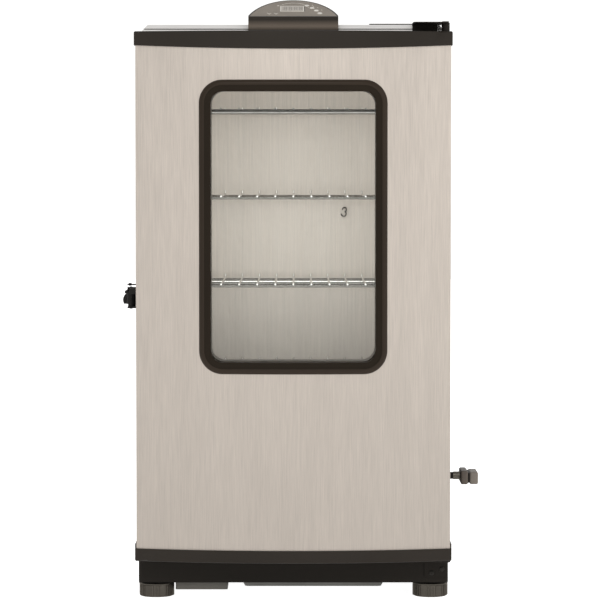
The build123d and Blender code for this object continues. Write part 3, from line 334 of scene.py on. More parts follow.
chip_bark = moulded("chip_bark", (0.20, 0.105, 0.05), 0.8, 900.0, 0.0003, 180.0)

screen_film = moulded("screen_film", (0.50, 0.45, 0.39), 0.25, 2600.0, 0.000005, 40.0, coat=0.5)
segment_ink = moulded("segment_ink", (0.20, 0.18, 0.155), 0.3, 2600.0, 0.000004, 40.0)

floor_paint = Finish("floor_paint", (0.9, 0.9, 0.9), 0.75)
floor_paint.shader.inputs["Specular IOR Level"].default_value = 0.1
floor_paint.shader.inputs["Emission Color"].default_value = (1.0, 1.0, 1.0, 1)
floor_rays = floor_paint.tree.nodes.new("ShaderNodeLightPath")
floor_glow = floor_paint.spread(floor_rays.outputs["Is Camera Ray"], 0.42, 0.97, 0.0, 1.0)
floor_paint.link(floor_glow, floor_paint.shader.inputs["Emission Strength"])
floor.data.materials.append(floor_paint.material)
print("paint and plastic finishes made")

# %% [markdown]
# ## Glass
# A thin flat pane hardly bends light.  It lets most of it straight through and mirrors a little, more at
# a glancing angle, so the pane mixes a clear shader and a gloss by Fresnel.  Seen from inside the glass,
# the index is turned over, or a slanted view would meet a full mirror.  A clear shader also lets
# light through to the chamber, which a solid glass shader would keep in shadow.

# %% Pane finish


def pane(name, tint):
    """A thin clear pane."""
    finish = Finish(name, tint, 0.03)
    clear = finish.tree.nodes.new("ShaderNodeBsdfTransparent")
    clear.inputs["Color"].default_value = (*tint, 1)
    gloss = finish.tree.nodes.new("ShaderNodeBsdfGlossy")
    gloss.inputs["Roughness"].default_value = 0.02
    gloss.inputs["Color"].default_value = (0.7, 0.7, 0.7, 1)
    fresnel = finish.tree.nodes.new("ShaderNodeFresnel")
    side = finish.tree.nodes.new("ShaderNodeNewGeometry")
    bend = finish.spread(side.outputs["Backfacing"], 1.45, 1 / 1.45, 0.0, 1.0)
    finish.link(bend, fresnel.inputs["IOR"])
    mix = finish.tree.nodes.new("ShaderNodeMixShader")
    finish.link(finish.spread(fresnel.outputs["Fac"], 0.0, 0.5, 0.0, 1.0), mix.inputs["Fac"])
    finish.link(clear.outputs["BSDF"], mix.inputs[1])
    finish.link(gloss.outputs["BSDF"], mix.inputs[2])
    finish.link(mix.outputs["Shader"], finish.tree.nodes["Material Output"].inputs["Surface"])
    finish.tree.nodes.remove(finish.shader)
    return finish


pane_glass = pane("pane_glass", (0.97, 0.975, 0.97))
print("glass made")

# %% [markdown]
# ## A finish for every CAD piece
# The CAD pieces keep their shapes.  Each one's material slots are filled with the finish of its slot
# name in the record.

# %% Hand out the finishes
FINISH_OF_SLOT = {
    "door_steel": door_steel, "case_paint": case_paint, "lid_steel": lid_steel, "base_paint": base_paint,
    "zinc_sheet": zinc_sheet, "chamber_steel": chamber_steel, "mineral_wool": wool_fibre,
    "rack_chrome": rack_chrome, "cap_plastic": cap_plastic, "frame_plastic": frame_plastic,
    "pane_glass": pane_glass, "seal_rubber": seal_rubber, "latch_black": latch_coat,
    "foot_metal": foot_coat, "bright_zinc": bright_zinc, "control_body": control_body,
    "control_face": control_face, "screen_glass": screen_film, "board_green": board_lacquer,
    "button_grey": button_plastic, "element_steel": element_skin, "box_grey": box_coat,
    "tray_grey": tray_coat, "grip_plastic": grip_plastic,
}


def dress(thing, finish):
    """Gives an object one finish."""
    thing.data.materials.clear()
    thing.data.materials.append(finish.material)


for node, thing in NODES.items():
    dress(thing, FINISH_OF_SLOT[SLOT_OF[node]])
for node in ("water_bowl", "drip_pan"):
    dress(NODES[node], bowl_steel)
print("dressed", len(NODES), "CAD pieces")

# %% [markdown]
# ## Tools for shapes
# `softened` copies a CAD piece, joins its loose triangles into clean flat faces, and rounds its edges by
# a fraction of a millimetre, because a perfectly sharp edge never catches light.  `rod` sweeps a round
# section along a path, one extrusion per point.  `settle` turns a finished bmesh into a named piece
# that rides on its body.

# %% Shape helpers


def settle(bm, name, body, finish, replaced=(), crease=35.0, recalc=True):
    """Makes a piece from a bmesh, at the origin, riding on a body."""
    bmesh.ops.remove_doubles(bm, verts=bm.verts, dist=1e-6)
    if recalc:
        bmesh.ops.recalc_face_normals(bm, faces=bm.faces)
    data = bpy.data.meshes.new(name)
    bm.to_mesh(data)
    bm.free()
    data.polygons.foreach_set("use_smooth", [True] * len(data.polygons))
    data.set_sharp_from_angle(angle=radians(crease))
    piece = bare_object(name, data)
    dress(piece, finish)
    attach(piece, body)
    if replaced:
        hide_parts(*replaced)
    return piece


def softened(node, width, finish=None, segments=2):
    """A copy of a CAD piece with its edges rounded by width metres."""
    bm = bmesh.new()
    bm.from_mesh(NODES[node].data)
    bmesh.ops.remove_doubles(bm, verts=bm.verts, dist=2e-6)
    bmesh.ops.dissolve_limit(bm, angle_limit=radians(0.4), verts=bm.verts, edges=bm.edges)
    piece = settle(bm, node + "_soft", BODY_OF[node], finish or FINISH_OF_SLOT[SLOT_OF[node]],
                   (node,), recalc=False)
    rounding = piece.modifiers.new("rounding", "BEVEL")
    rounding.width = width
    rounding.segments = segments
    rounding.limit_method = "ANGLE"
    rounding.angle_limit = radians(32)
    rounding.use_clamp_overlap = True
    rounding.harden_normals = True
    return piece


def rod(bm, points, radius, sides=12, closed=False, caps=True):
    """Sweeps a circle along points by extruding it from each to the next."""
    points = [Vector(point) for point in points]
    count = len(points)
    tangents = []
    for index, point in enumerate(points):
        ahead = points[(index + 1) % count] if closed or index + 1 < count else point
        behind = points[index - 1] if closed or index else point
        tangents.append((ahead - behind).normalized())
    ring = bmesh.ops.create_circle(bm, cap_ends=False, segments=sides, radius=radius)["verts"]
    turn = Vector((0, 0, 1)).rotation_difference(tangents[0]).to_matrix()
    bmesh.ops.transform(bm, matrix=Matrix.Translation(points[0]) @ turn.to_4x4(), verts=ring)
    edges = list({edge for vert in ring for edge in vert.link_edges if edge.other_vert(vert) in ring})
    first_edges = edges
    for index in range(1, count):
        grown = bmesh.ops.extrude_edge_only(bm, edges=edges)["geom"]
        verts = [item for item in grown if isinstance(item, bmesh.types.BMVert)]
        edges = [item for item in grown if isinstance(item, bmesh.types.BMEdge)]
        step = tangents[index - 1].rotation_difference(tangents[index]).to_matrix().to_4x4()
        move = Matrix.Translation(points[index]) @ step @ Matrix.Translation(-points[index - 1])
        bmesh.ops.transform(bm, matrix=move, verts=verts)
    if closed:
        bmesh.ops.bridge_loops(bm, edges=edges + first_edges)
    elif caps:
        bmesh.ops.contextual_create(bm, geom=first_edges)
        bmesh.ops.contextual_create(bm, geom=edges)
    return ring


def corner_arc(centre, radius, start, stop, steps, axis="Z"):
    """Points round a quarter bend, in the plane across the axis."""
    out = []
    for index in range(steps + 1):
        angle = radians(start + (stop - start) * index / steps)
        flat = (radius * cos(angle), radius * sin(angle))
        offset = {"Z": (*flat, 0), "Y": (flat[0], 0, flat[1]), "X": (0, *flat)}[axis]
        out.append(Vector(centre) + Vector(offset))
    return out


def plate(bm, low, high, rounding=0.0, segments=3):
    """A block between two corners with rounded edges."""
    low, high = Vector(low), Vector(high)
    cube = bmesh.ops.create_cube(bm, size=1.0)["verts"]
    size = high - low
    bmesh.ops.scale(bm, vec=size, verts=cube)
    bmesh.ops.translate(bm, vec=(low + high) / 2, verts=cube)
    if rounding:
        edges = list({edge for vert in cube for edge in vert.link_edges})
        bmesh.ops.bevel(bm, geom=edges, offset=rounding, segments=segments, profile=0.5, affect="EDGES",
                        material=-1, clamp_overlap=True)


def newer(bm, before):
    """The vertices that were not there before."""
    return [vert for vert in bm.verts if vert not in before]


print("helpers ready")

# %% [markdown]
# ## Softened edges
# Most visible casings, caps and brackets are right as they are, apart from their razor edges.  A bevel of
# a few tenths of a millimetre on sheet metal, and one or two millimetres on mouldings, is enough.

# %% Round the edges of casings, caps and brackets
EDGE_WIDTHS = {
    "outer_shell": 0.5, "top_panel": 1.5, "base_pan": 1.0, "front_collar": 0.6, "chip_housing": 0.4,
    "chip_tray": 0.4, "rear_service_cover": 0.5, "power_box": 0.8, "grease_tray": 0.4,
    "grease_tray_rails": 0.3, "foot_rails": 0.5, "loader_sleeve": 0.4, "vent_collar": 0.3,
    "damper_disc": 0.4, "door_bottom_cap": 0.6, "door_top_cap": 0.6, "door_liner": 0.3, "latch_base": 0.6,
    "latch_keeper": 0.4, "latch_lever": 1.2, "latch_strap": 0.4, "top_hinge_bracket": 0.8,
    "bottom_hinge_bracket": 0.8, "controller_housing": 2.2, "controller_faceplate": 0.3, "water_bowl": 0.4,
    "drip_pan": 0.4, "rack_supports": 0.3, "hinge_pins": 0.5, "cord_inlet": 0.4,
}
OWN_FINISH = {
    "water_bowl": bowl_steel, "drip_pan": bowl_steel, "hinge_pins": base_paint, "loader_sleeve": zinc_sheet,
}
for node, width in EDGE_WIDTHS.items():
    own = OWN_FINISH.get(node)
    piece = softened(node, width * MM, own, segments=3 if width > 1 else 2)
print("softened", len(EDGE_WIDTHS), "pieces")

# %% [markdown]
# ## The window's moulding
# The frame round the glass is one moulding: a rounded outer slope, a flat band, a step, and a sleeve that
# runs back to the pane.  It starts as one flat face with rounded corners.  Each inset makes the next ring
# inward and raises or lowers it, so the profile is a short list of steps.  Last, it is bowed to lie on the door.

# %% Window moulding
window_low, window_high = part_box("window_frame")
skin_low, skin_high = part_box("door_skin")
WINDOW_CORNER = 40 * MM
DOOR_HALF = (skin_high.x - skin_low.x) / 2
DOOR_BOW = 35 * MM
DOOR_CROWN = skin_low.y
PROUD = 6 * MM
MOULDING_STEPS = ((0.6, 1.6), (1.4, 2.0), (1.6, 1.3), (1.4, 0.7), (3.0, 0.2), (1.0, -0.4), (1.0, -1.2), (3.2, -0.6),
                  (3.4, -1.6))
BAND_WIDTH = 9.2
OPENING_INSET = 20.0


def skin_front(x):
    """How far forward the door's skin lies at a place across it."""
    radius = (DOOR_HALF**2 + DOOR_BOW**2) / (2 * DOOR_BOW)
    return DOOR_CROWN + radius - (radius**2 - x**2) ** 0.5


def rounded_face(bm, low, high, corner, y, segments=14):
    """One flat face with rounded corners, in the plane across Y."""
    verts = bmesh.ops.create_grid(bm, x_segments=1, y_segments=1, size=0.5)["verts"]
    size = Vector((high[0] - low[0], high[1] - low[1], 1))
    bmesh.ops.scale(bm, vec=size, verts=verts)
    bmesh.ops.rotate(bm, cent=(0, 0, 0), matrix=Matrix.Rotation(pi / 2, 3, "X"), verts=verts)
    middle = Vector(((low[0] + high[0]) / 2, y, (low[1] + high[1]) / 2))
    bmesh.ops.translate(bm, vec=middle, verts=verts)
    bmesh.ops.bevel(bm, geom=verts, offset=corner, segments=segments, profile=0.5, affect="VERTICES",
                    material=-1, clamp_overlap=False)
    return [face for face in bm.faces if face.is_valid]


bm = bmesh.new()
face = rounded_face(bm, (window_low.x, window_low.z), (window_high.x, window_high.z), WINDOW_CORNER, 0.0)[0]
bmesh.ops.translate(bm, vec=(0, -0.2 * MM, 0), verts=list(face.verts))
spent = 0.0
for inset, rise in MOULDING_STEPS:
    bmesh.ops.inset_region(bm, faces=[face], thickness=inset * MM, use_boundary=True, use_even_offset=True)
    bmesh.ops.translate(bm, vec=(0, -rise * MM, 0), verts=list(face.verts))
    spent += inset
last_inset = (OPENING_INSET - spent) * MM
bmesh.ops.inset_region(bm, faces=[face], thickness=last_inset, use_boundary=True, use_even_offset=True)
bmesh.ops.translate(bm, vec=(0, 1.2 * MM, 0), verts=list(face.verts))
for index in range(6):
    grown = bmesh.ops.extrude_face_region(bm, geom=[face])["geom"]
    bmesh.ops.delete(bm, geom=[face], context="FACES")
    face = next(item for item in grown if isinstance(item, bmesh.types.BMFace))
    bmesh.ops.translate(bm, vec=(0, 4 * MM, 0), verts=list(face.verts))
bmesh.ops.delete(bm, geom=[face], context="FACES")
for step in range(-9, 10):
    geom = bm.verts[:] + bm.edges[:] + bm.faces[:]
    bmesh.ops.bisect_plane(bm, geom=geom, dist=1e-6, plane_co=(step * 15 * MM, 0, 0), plane_no=(1, 0, 0))
glass_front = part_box("window_glass")[0].y
for vert in bm.verts:
    vert.co.y = min(vert.co.y + skin_front(vert.co.x), glass_front)
bmesh.ops.recalc_face_normals(bm, faces=bm.faces)
core_x = (window_high.x - window_low.x) / 2 - WINDOW_CORNER
core_z = (window_high.z - window_low.z) / 2 - WINDOW_CORNER
middle_z = (window_high.z + window_low.z) / 2


def inside_band(face):
    """True for the moulding's inner slope and sleeve, which lie nearer the opening."""
    centre = face.calc_center_median()
    out_x, out_z = max(abs(centre.x) - core_x, 0), max(abs(centre.z - middle_z) - core_z, 0)
    return (out_x**2 + out_z**2) ** 0.5 < WINDOW_CORNER - BAND_WIDTH * MM


for name, finish, inner in (("window_moulding", frame_plastic, False), ("window_sleeve", frame_shadow, True)):
    part = bm.copy()
    spare = [face for face in part.faces if inside_band(face) != inner]
    bmesh.ops.delete(part, geom=spare, context="FACES")
    settle(part, name, "door", finish, () if inner else ("window_frame",), crease=50, recalc=False)
bm.free()

# %% [markdown]
# ## Racks
# A welded rack is a heavy rim, two heavy cross rods underneath, and thin wires laid front to back, each
# bent up at the rear as a stop.  Every rod is a circle extruded along a path.  The same rack is made at
# each of the four levels, since they are the same part.

# %% Wire racks
RACK_NODES = ["rack_1", "rack_2", "rack_3", "rack_4"]
ROD_RADIUS = 2.6 * MM
DRAWN_RADIUS = 2.1 * MM
WIRE_RADIUS = 1.6 * MM
WIRE_PITCH = 31.5 * MM
WIRE_COUNT = 15
CURL = 7 * MM


def make_rack(node):
    """One rack in the place of its CAD node: its rim and front cross rod, then the rear one and the wires."""
    low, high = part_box(node)
    level = low.z + ROD_RADIUS
    x, front, rear = high.x - ROD_RADIUS, low.y + ROD_RADIUS, high.y - ROD_RADIUS
    corner = 14 * MM
    bm = bmesh.new()
    rim = []
    rim += corner_arc((x - corner, front + corner, level), corner, -90, 0, 6)
    rim += corner_arc((x - corner, rear - corner, level), corner, 0, 90, 6)
    rim += corner_arc((-x + corner, rear - corner, level), corner, 90, 180, 6)
    rim += corner_arc((-x + corner, front + corner, level), corner, 180, 270, 6)
    rod(bm, rim, DRAWN_RADIUS, 14, closed=True)
    cross_front, cross_rear = (front + share * (rear - front) for share in (1 / 3, 2 / 3))
    rod(bm, [(-x, cross_front, level), (x, cross_front, level)], DRAWN_RADIUS, 14)
    settle(bm, node + "_rim", BODY_OF[node], shaded_rim_chrome, (node,), crease=40)
    bm = bmesh.new()
    top = level + DRAWN_RADIUS + WIRE_RADIUS - 0.6 * MM
    bend = 2.4 * MM
    rod(bm, [(-x, cross_rear, level), (x, cross_rear, level)], DRAWN_RADIUS, 14)
    for index in range(WIRE_COUNT):
        across = (index - (WIRE_COUNT - 1) / 2) * WIRE_PITCH
        stop = high.y - WIRE_RADIUS - 0.2 * MM
        path = [(across, front - 1.8 * MM, top)]
        path += corner_arc((across, stop - bend, top + bend), bend, -90, 0, 5, "X")
        path += [(across, stop, level + CURL + 3.4 * MM)]
        rod(bm, path, WIRE_RADIUS, 10)
    piece = settle(bm, node + "_wires", BODY_OF[node], rack_chrome, crease=40)
    return piece


for node in RACK_NODES:
    rack_piece = make_rack(node)
print("racks of", WIRE_COUNT, "wires,", len(rack_piece.data.polygons), "faces each")

# %% [markdown]
# ## Feet
# The levelling feet have a coarse ribbed rim for fingers.  A disc's outer faces are pulled outward one by
# one, every second one, which makes even ribs in one pass.  The upper edge has a rolled lip.

# %% Ribbed feet
FOOT_NODES = ["foot_front_left", "foot_front_right", "foot_rear_left", "foot_rear_right"]
RIBS = 44


def make_foot(node):
    """A ribbed foot with its stud, in the place of its CAD node."""
    low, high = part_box(node)
    centre = (low + high) / 2
    radius = (high.x - low.x) / 2
    bm = bmesh.new()
    disc_height = 24 * MM
    lip = 3.2 * MM
    ring = bmesh.ops.create_circle(bm, cap_ends=True, segments=RIBS * 2, radius=radius - 3.4 * MM)["verts"]
    profile = ((2.0, 1.2), (0.0, disc_height / MM - lip / MM - 1.2), (1.2, 0.5), (0.0, 1.6), (-1.2, 1.1), (-10, 0.0),
               (-5.0, 2.5), (0.0, 0.0))
    loop = list({edge for vert in ring for edge in vert.link_edges})
    rib_faces = []
    for step, (grow, rise) in enumerate(profile[:-1]):
        grown = bmesh.ops.extrude_edge_only(bm, edges=loop)["geom"]
        verts = [item for item in grown if isinstance(item, bmesh.types.BMVert)]
        if step == 1:
            rib_faces = [item for item in grown if isinstance(item, bmesh.types.BMFace)]
        loop = [item for item in grown if isinstance(item, bmesh.types.BMEdge)]
        for vert in verts:
            flat = Vector((vert.co.x, vert.co.y, 0))
            vert.co += flat.normalized() * grow * MM + Vector((0, 0, rise * MM))
    bmesh.ops.contextual_create(bm, geom=loop)
    bmesh.ops.recalc_face_normals(bm, faces=bm.faces)
    rib_faces = [found for found in rib_faces if found.is_valid][::2]
    ribs = bmesh.ops.inset_individual(bm, faces=rib_faces, thickness=0.35 * MM, depth=1.3 * MM)
    stud = bmesh.ops.create_cone(bm, cap_ends=True, segments=20, radius1=5 * MM, radius2=5 * MM,
                                 depth=high.z - 26 * MM)["verts"]
    bmesh.ops.translate(bm, vec=(0, 0, (high.z + 26 * MM) / 2), verts=stud)
    bmesh.ops.translate(bm, vec=(centre.x, centre.y, 0), verts=bm.verts)
    return settle(bm, node + "_ribbed", BODY_OF[node], foot_coat, (node,), crease=28, recalc=False)


for node in FOOT_NODES:
    foot_piece = make_foot(node)
print("feet with", RIBS, "ribs")

# %% [markdown]
# ## The loader's neck and grip
# The wood-chip loader is pulled and turned by a short bar.  Its neck has a dark ring in the middle; the
# grip is a rounded block, a deep groove, and a paler end block with a shallow dished face.

# %% Loader grip
handle_low, handle_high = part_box("loader_handle")
grip_y, grip_z = (handle_low.y + handle_high.y) / 2, 195.5 * MM
tip_plastic = moulded("tip_plastic", tip_plastic_tone, 0.36, 1300.0, 0.00004, 30.0)
bm = bmesh.new()
rod(bm, [(handle_low.x + 0.001, grip_y, grip_z), (0.2805, grip_y, grip_z)], 7.2 * MM, 32)
rod(bm, [(0.2875, grip_y, grip_z), (0.3005, grip_y, grip_z)], 7.2 * MM, 32)
settle(bm, "loader_neck", "loader", neck_steel, ("loader_handle",), crease=40)
bm = bmesh.new()
rod(bm, [(0.2795, grip_y, grip_z), (0.2885, grip_y, grip_z)], 6.3 * MM, 32)
plate(bm, (0.312, grip_y - 0.031, grip_z - 0.0105), (0.318, grip_y + 0.031, grip_z + 0.0075), 0.002)
settle(bm, "loader_groove", "loader", dark_grip)
bm = bmesh.new()
plate(bm, (0.2995, grip_y - 0.0355, grip_z - 0.0130), (0.3128, grip_y + 0.0355, grip_z + 0.0115), 0.0034, 4)
settle(bm, "loader_grip", "loader", grip_plastic)
bm = bmesh.new()
plate(bm, (0.3158, grip_y - 0.0335, grip_z - 0.0128), (handle_high.x, grip_y + 0.0335, grip_z + 0.0090), 0.003, 4)
end_faces = [found for found in bm.faces if found.normal.x > 0.99]
bmesh.ops.inset_region(bm, faces=end_faces, thickness=0.002, depth=0)
bmesh.ops.translate(bm, vec=(-0.001, 0, 0), verts=list({vert for found in end_faces for vert in found.verts}))
settle(bm, "loader_tip", "loader", tip_plastic)
print("loader grip reaches x", round(handle_high.x, 4))

# %% [markdown]
# ## Screws
# Every screw is a low dome with a cross cut into it.  The dome is a disc raised ring by ring; the cross is
# painted shade, two thin dark bars that lie almost flush in its top, in place of the hollow recess.

# %% Screws and their recesses
screw_paint = moulded("screw_paint", (0.030, 0.028, 0.025), 0.35, 900.0, 0.00002, 90.0, metallic=0.4)


def screw(heads, recess_shades, place, facing, radius, height):
    """Adds a domed head and the painted shade of its cross recess, looking along a direction."""
    facing = Vector(facing)
    turn = Vector((0, 0, 1)).rotation_difference(facing).to_matrix().to_4x4()
    frame_of = Matrix.Translation(Vector(place)) @ turn
    before = set(heads.verts)
    loop = bmesh.ops.create_circle(heads, cap_ends=False, segments=24, radius=radius)["verts"]
    edges = list({edge for vert in loop for edge in vert.link_edges})
    for share, rise in ((1.0, 0.45), (0.93, 0.72), (0.72, 0.92), (0.42, 1.0)):
        grown = bmesh.ops.extrude_edge_only(heads, edges=edges)["geom"]
        verts = [item for item in grown if isinstance(item, bmesh.types.BMVert)]
        edges = [item for item in grown if isinstance(item, bmesh.types.BMEdge)]
        for vert in verts:
            flat = Vector((vert.co.x, vert.co.y, 0)).normalized()
            vert.co = flat * radius * share + Vector((0, 0, height * rise))
    bmesh.ops.contextual_create(heads, geom=edges)
    bmesh.ops.transform(heads, matrix=frame_of, verts=newer(heads, before))
    before = set(recess_shades.verts)
    # The cross recess is painted shade: two dark bars almost flush in the dome's top.
    arm, half = radius * 0.5, radius * 0.10
    plate(recess_shades, (-arm, -half, height * 0.6), (arm, half, height + 0.00005))
    plate(recess_shades, (-half, -arm, height * 0.6), (half, arm, height + 0.00005))
    bmesh.ops.transform(recess_shades, matrix=frame_of, verts=newer(recess_shades, before))


def screw_set(name, body, finish, places, replaced=()):
    """A piece of screw heads and one of the painted shade in their cross recesses."""
    heads, recess_shades = bmesh.new(), bmesh.new()
    for place, facing, radius, height in places:
        screw(heads, recess_shades, place, facing, radius, height)
    settle(heads, name, body, finish, replaced, crease=50)
    settle(recess_shades, name + "_recesses", body, dark_grip)


screws_low, screws_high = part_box("cabinet_screws")
plate_top = screws_high.z - 0.0024
places = [((x, y, plate_top), (0, 0, 1), 0.0055, 0.0023) for x in (0.221, 0.252) for y in (-0.192, -0.172)]
places += [((x, -0.2060, z), (0, -1, 0), 0.0042, 0.0018) for x, z in ((0.241, 0.044), (0.259, 0.051))]
places += [((-0.273, -0.183, 0.5145), (-1, 0, 0), 0.0034, 0.0018)]
places += [((-0.273, -0.143, 0.5405), (-1, 0, 0), 0.0034, 0.0018)]
screw_set("cabinet_screw_heads", "cabinet", screw_paint, places, ("cabinet_screws",))
rear_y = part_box("outer_shell")[1].y
places = [((x, rear_y, z), (0, 1, 0), 0.0035, 0.0016) for x in (-0.258, 0.258) for z in (0.09, 0.30, 0.52, 0.74, 0.96)]
places += [((x, rear_y, z), (0, 1, 0), 0.0035, 0.0016) for x in (-0.13, 0.0, 0.13) for z in (0.085, 0.965)]
places += [((x, rear_y + 0.0038, z), (0, 1, 0), 0.0042, 0.0018) for x in (-0.085, 0.085) for z in (0.742, 0.778)]
screw_set("rear_screw_heads", "cabinet", bright_zinc, places)
print("screws set")

# %% [markdown]
# ## Controls
# The face of the controller has a small display with seven-bar digits, a row of press dots with a mark
# beside each, two small arrows, and a pale arc near the top.  They are thin raised prints, laid out on
# the tilted face with a matrix that turns face positions into places in the room.

# %% Prints on the controller's face
TILT = radians(19.9)
FACE_TO_ROOM = Matrix.Translation((0, -0.197, 1.0115)) @ Matrix.Rotation(TILT, 4, "X")


def on_face(bm):
    """Moves all vertices from face positions to their place in the room."""
    bmesh.ops.transform(bm, matrix=FACE_TO_ROOM, verts=bm.verts[:])


def print_disc(bm, x, y, radius, height=0.0002, segments=24):
    made = bmesh.ops.create_cone(bm, cap_ends=True, segments=segments, radius1=radius, radius2=radius, depth=height)
    bmesh.ops.translate(bm, vec=(x, y, height / 2), verts=made["verts"])


bm = bmesh.new()
plate(bm, (-0.0230, 0.0298, -0.0004), (0.0188, 0.0622, 0.00028), 0.0002, 1)
on_face(bm)
settle(bm, "display_bezel", "cabinet", symbol_ink)
bm = bmesh.new()
plate(bm, (-0.0212, 0.0318, -0.0003), (0.0172, 0.0602, 0.00042), 0.0002, 1)
on_face(bm)
settle(bm, "display_panel", "cabinet", screen_film, ("display_window",))
bm = bmesh.new()
for digit in range(4):
    x0 = -0.0165 + digit * 0.0090
    for dx, dy, wide, tall in ((0, 0, 0.0050, 0.0011), (0, 0.0090, 0.0050, 0.0011), (0, 0.0180, 0.0050, 0.0011),
                               (0, 0, 0.0009, 0.0180), (0.0042, 0, 0.0009, 0.0180)):
        plate(bm, (x0 + dx, 0.0365 + dy, 0.0003), (x0 + dx + wide, 0.0365 + dy + tall, 0.00048))
on_face(bm)
settle(bm, "display_digits", "cabinet", segment_ink)
bm = bmesh.new()
for x, y in ((-0.042, 0.018), (-0.030, 0.018)):
    for side in (-1, 1):
        before = set(bm.verts)
        plate(bm, (-0.0030, -0.0006, 0.0), (0.0030, 0.0006, 0.0002))
        lean = Matrix.Translation((x + side * 0.0019, y, 0)) @ Matrix.Rotation(radians(side * 48), 4, "Z")
        bmesh.ops.transform(bm, matrix=lean, verts=newer(bm, before))
    plate(bm, (x - 0.0006, y - 0.0060, 0.0), (x + 0.0006, y - 0.0035, 0.0002))
print_disc(bm, -0.0265, 0.0635, 0.0019)
for x, y in ((0.0335, 0.0665), (0.0425, 0.0525), (0.0495, 0.0375), (0.0350, 0.0585), (0.0260, 0.0530)):
    print_disc(bm, x, y, 0.0011)
arc_points = [Vector((0.030 * sin(radians(angle)), 0.0440 + 0.0355 * cos(radians(angle)), 0)) for angle in range(-42, 43, 6)]
for first, second in zip(arc_points, arc_points[1:]):
    before = set(bm.verts)
    along = second - first
    plate(bm, (0, -0.0006, 0.0), (along.length, 0.0006, 0.0002))
    lean = Matrix.Translation(first) @ Matrix.Rotation(atan2(along.y, along.x), 4, "Z")
    bmesh.ops.transform(bm, matrix=lean, verts=newer(bm, before))
on_face(bm)
settle(bm, "control_prints", "cabinet", symbol_ink)
bm = bmesh.new()
for x, y in ((0.0235, 0.063), (0.0325, 0.049), (0.040, 0.034), (0.046, 0.018)):
    for start_angle in range(0, 360, 30):
        first = Vector((x + 0.0049 * cos(radians(start_angle)), y + 0.0049 * sin(radians(start_angle)), 0.0001))
        print_disc(bm, first.x, first.y, 0.00035, 0.0002, 8)
on_face(bm)
settle(bm, "button_rings", "cabinet", symbol_ink)
for index in range(1, 5):
    softened(f"control_button_{index}", 0.0004)
print("controls printed")

# %% [markdown]
# ## Inside the chamber
# On the rear wall hangs the temperature probe on a curled wire clip.  The heater is a bent rod with a
# clamp at each end, and a heap of wood chips lies in the tray: thin slabs turned every way.

# %% Probe, heater and chips
probe_wire = moulded("probe_wire", (0.035, 0.032, 0.028), 0.4, 900.0, 0.00002, 90.0, metallic=0.5)
probe_low, probe_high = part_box("temperature_sensor")
wall_y = probe_high.y
bm = bmesh.new()
centre = Vector((0.0925, wall_y - 0.0065, 0.6640))
curl = corner_arc(centre, 0.0046, 175, 415, 16, "Y")
curl += corner_arc(centre + Vector((0.0014, -0.0008, 0.0080)), 0.0037, -70, 195, 14, "Y")
rod(bm, curl, 0.0010, 10)
rod(bm, [centre + Vector((0.0030, 0.0, 0.0036)), centre + Vector((0.0030, -0.014, 0.0036))], 0.0016, 16)
rod(bm, [centre + Vector((0.0022, 0.0, 0.0110)), (centre.x + 0.0022, wall_y - 0.0002, centre.z + 0.0110)], 0.0010, 10)
settle(bm, "probe_and_clip", "cabinet", probe_wire, ("temperature_sensor",), crease=40)

softened("heating_element", 0.0006)
tray_low, tray_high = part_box("chip_tray")
bm = bmesh.new()
seeds = 140
for index in range(seeds):
    share = (index * 0.618034) % 1.0
    second = (index * 0.414214) % 1.0
    third = (index * 0.732051) % 1.0
    before = set(bm.verts)
    long, wide, thick = 0.011 + 0.008 * third, 0.006 + 0.005 * second, 0.0022 + 0.0012 * share
    plate(bm, (-long / 2, -wide / 2, -thick / 2), (long / 2, wide / 2, thick / 2), 0.0006, 1)
    place = Vector((tray_low.x + 0.018 + share * (tray_high.x - tray_low.x - 0.036),
                    tray_low.y + 0.028 + second * (tray_high.y - tray_low.y - 0.042),
                    tray_low.z + 0.0075 + third * 0.0065))
    spin = Matrix.Rotation(6.28 * third, 4, "Z") @ Matrix.Rotation(0.5 * (share - 0.5), 4, "X")
    bmesh.ops.transform(bm, matrix=Matrix.Translation(place) @ spin, verts=newer(bm, before))
settle(bm, "wood_chips", "chip_tray", chip_bark, crease=30)
print("chips", seeds)

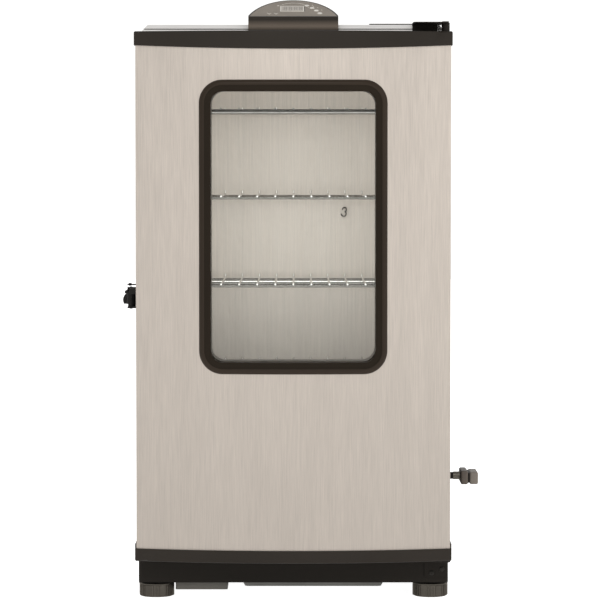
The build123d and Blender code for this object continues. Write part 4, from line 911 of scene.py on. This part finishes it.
# %% [markdown]
# ## The back and sides
# The carrying handle is one tube bent at both ends and welded to two plates.  The terminal cover has
# pressed louvres.  A rolled seam runs down each rear corner, and the lid has a seam round its foot.

# %% Handle, louvres and seams
handle_box_low, handle_box_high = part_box("rear_handle")
handle_z = (handle_box_low.z + handle_box_high.z) / 2
reach_y = handle_box_high.y - 0.008
bm = bmesh.new()
path = [Vector((-0.085, rear_y + 0.003, handle_z))]
path += corner_arc((-0.063, reach_y - 0.022, handle_z), 0.022, 180, 90, 8)
path += corner_arc((0.063, reach_y - 0.022, handle_z), 0.022, 90, 0, 8)
path += [Vector((0.085, rear_y + 0.003, handle_z))]
rod(bm, path, 0.0075, 24)
for x in (-0.085, 0.085):
    plate(bm, (x - 0.016, rear_y + 0.0001, handle_z - 0.026), (x + 0.016, rear_y + 0.0038, handle_z + 0.026), 0.0014)
settle(bm, "rear_handle_tube", "cabinet", latch_coat, ("rear_handle",), crease=40)

cover_low, cover_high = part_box("rear_service_cover")
cover_x, cover_z = (cover_low.x + cover_high.x) / 2, (cover_low.z + cover_high.z) / 2
bm = bmesh.new()
for index in range(6):
    z = cover_z - 0.0225 + index * 0.009
    plate(bm, (cover_x - 0.030, cover_high.y - 0.0008, z - 0.0016), (cover_x + 0.030, cover_high.y - 0.0001, z + 0.0016), 0.0003, 1)
settle(bm, "cover_louvres", "cabinet", dark_grip)

shell_low, shell_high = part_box("outer_shell")
bm = bmesh.new()
for x in (-0.246, 0.246):
    plate(bm, (x - 0.0045, rear_y - 0.0003, 0.075), (x + 0.0045, rear_y + 0.0008, 0.975), 0.0004, 2)
settle(bm, "rear_seams", "cabinet", case_paint)

lid_low, lid_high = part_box("top_panel")
bm = bmesh.new()
seam_z = lid_low.z + 0.0062
seam_y = lid_low.y + 0.0082
plate(bm, (-0.258, seam_y, seam_z - 0.0006), (0.258, seam_y + 0.002, seam_z + 0.0006))
for x in (-0.2585, 0.2585):
    plate(bm, (x - 0.0016, seam_y + 0.001, seam_z - 0.0006), (x + 0.0016, lid_high.y - 0.009, seam_z + 0.0006))
settle(bm, "lid_seam", "cabinet", dark_grip)
print("back and sides done")
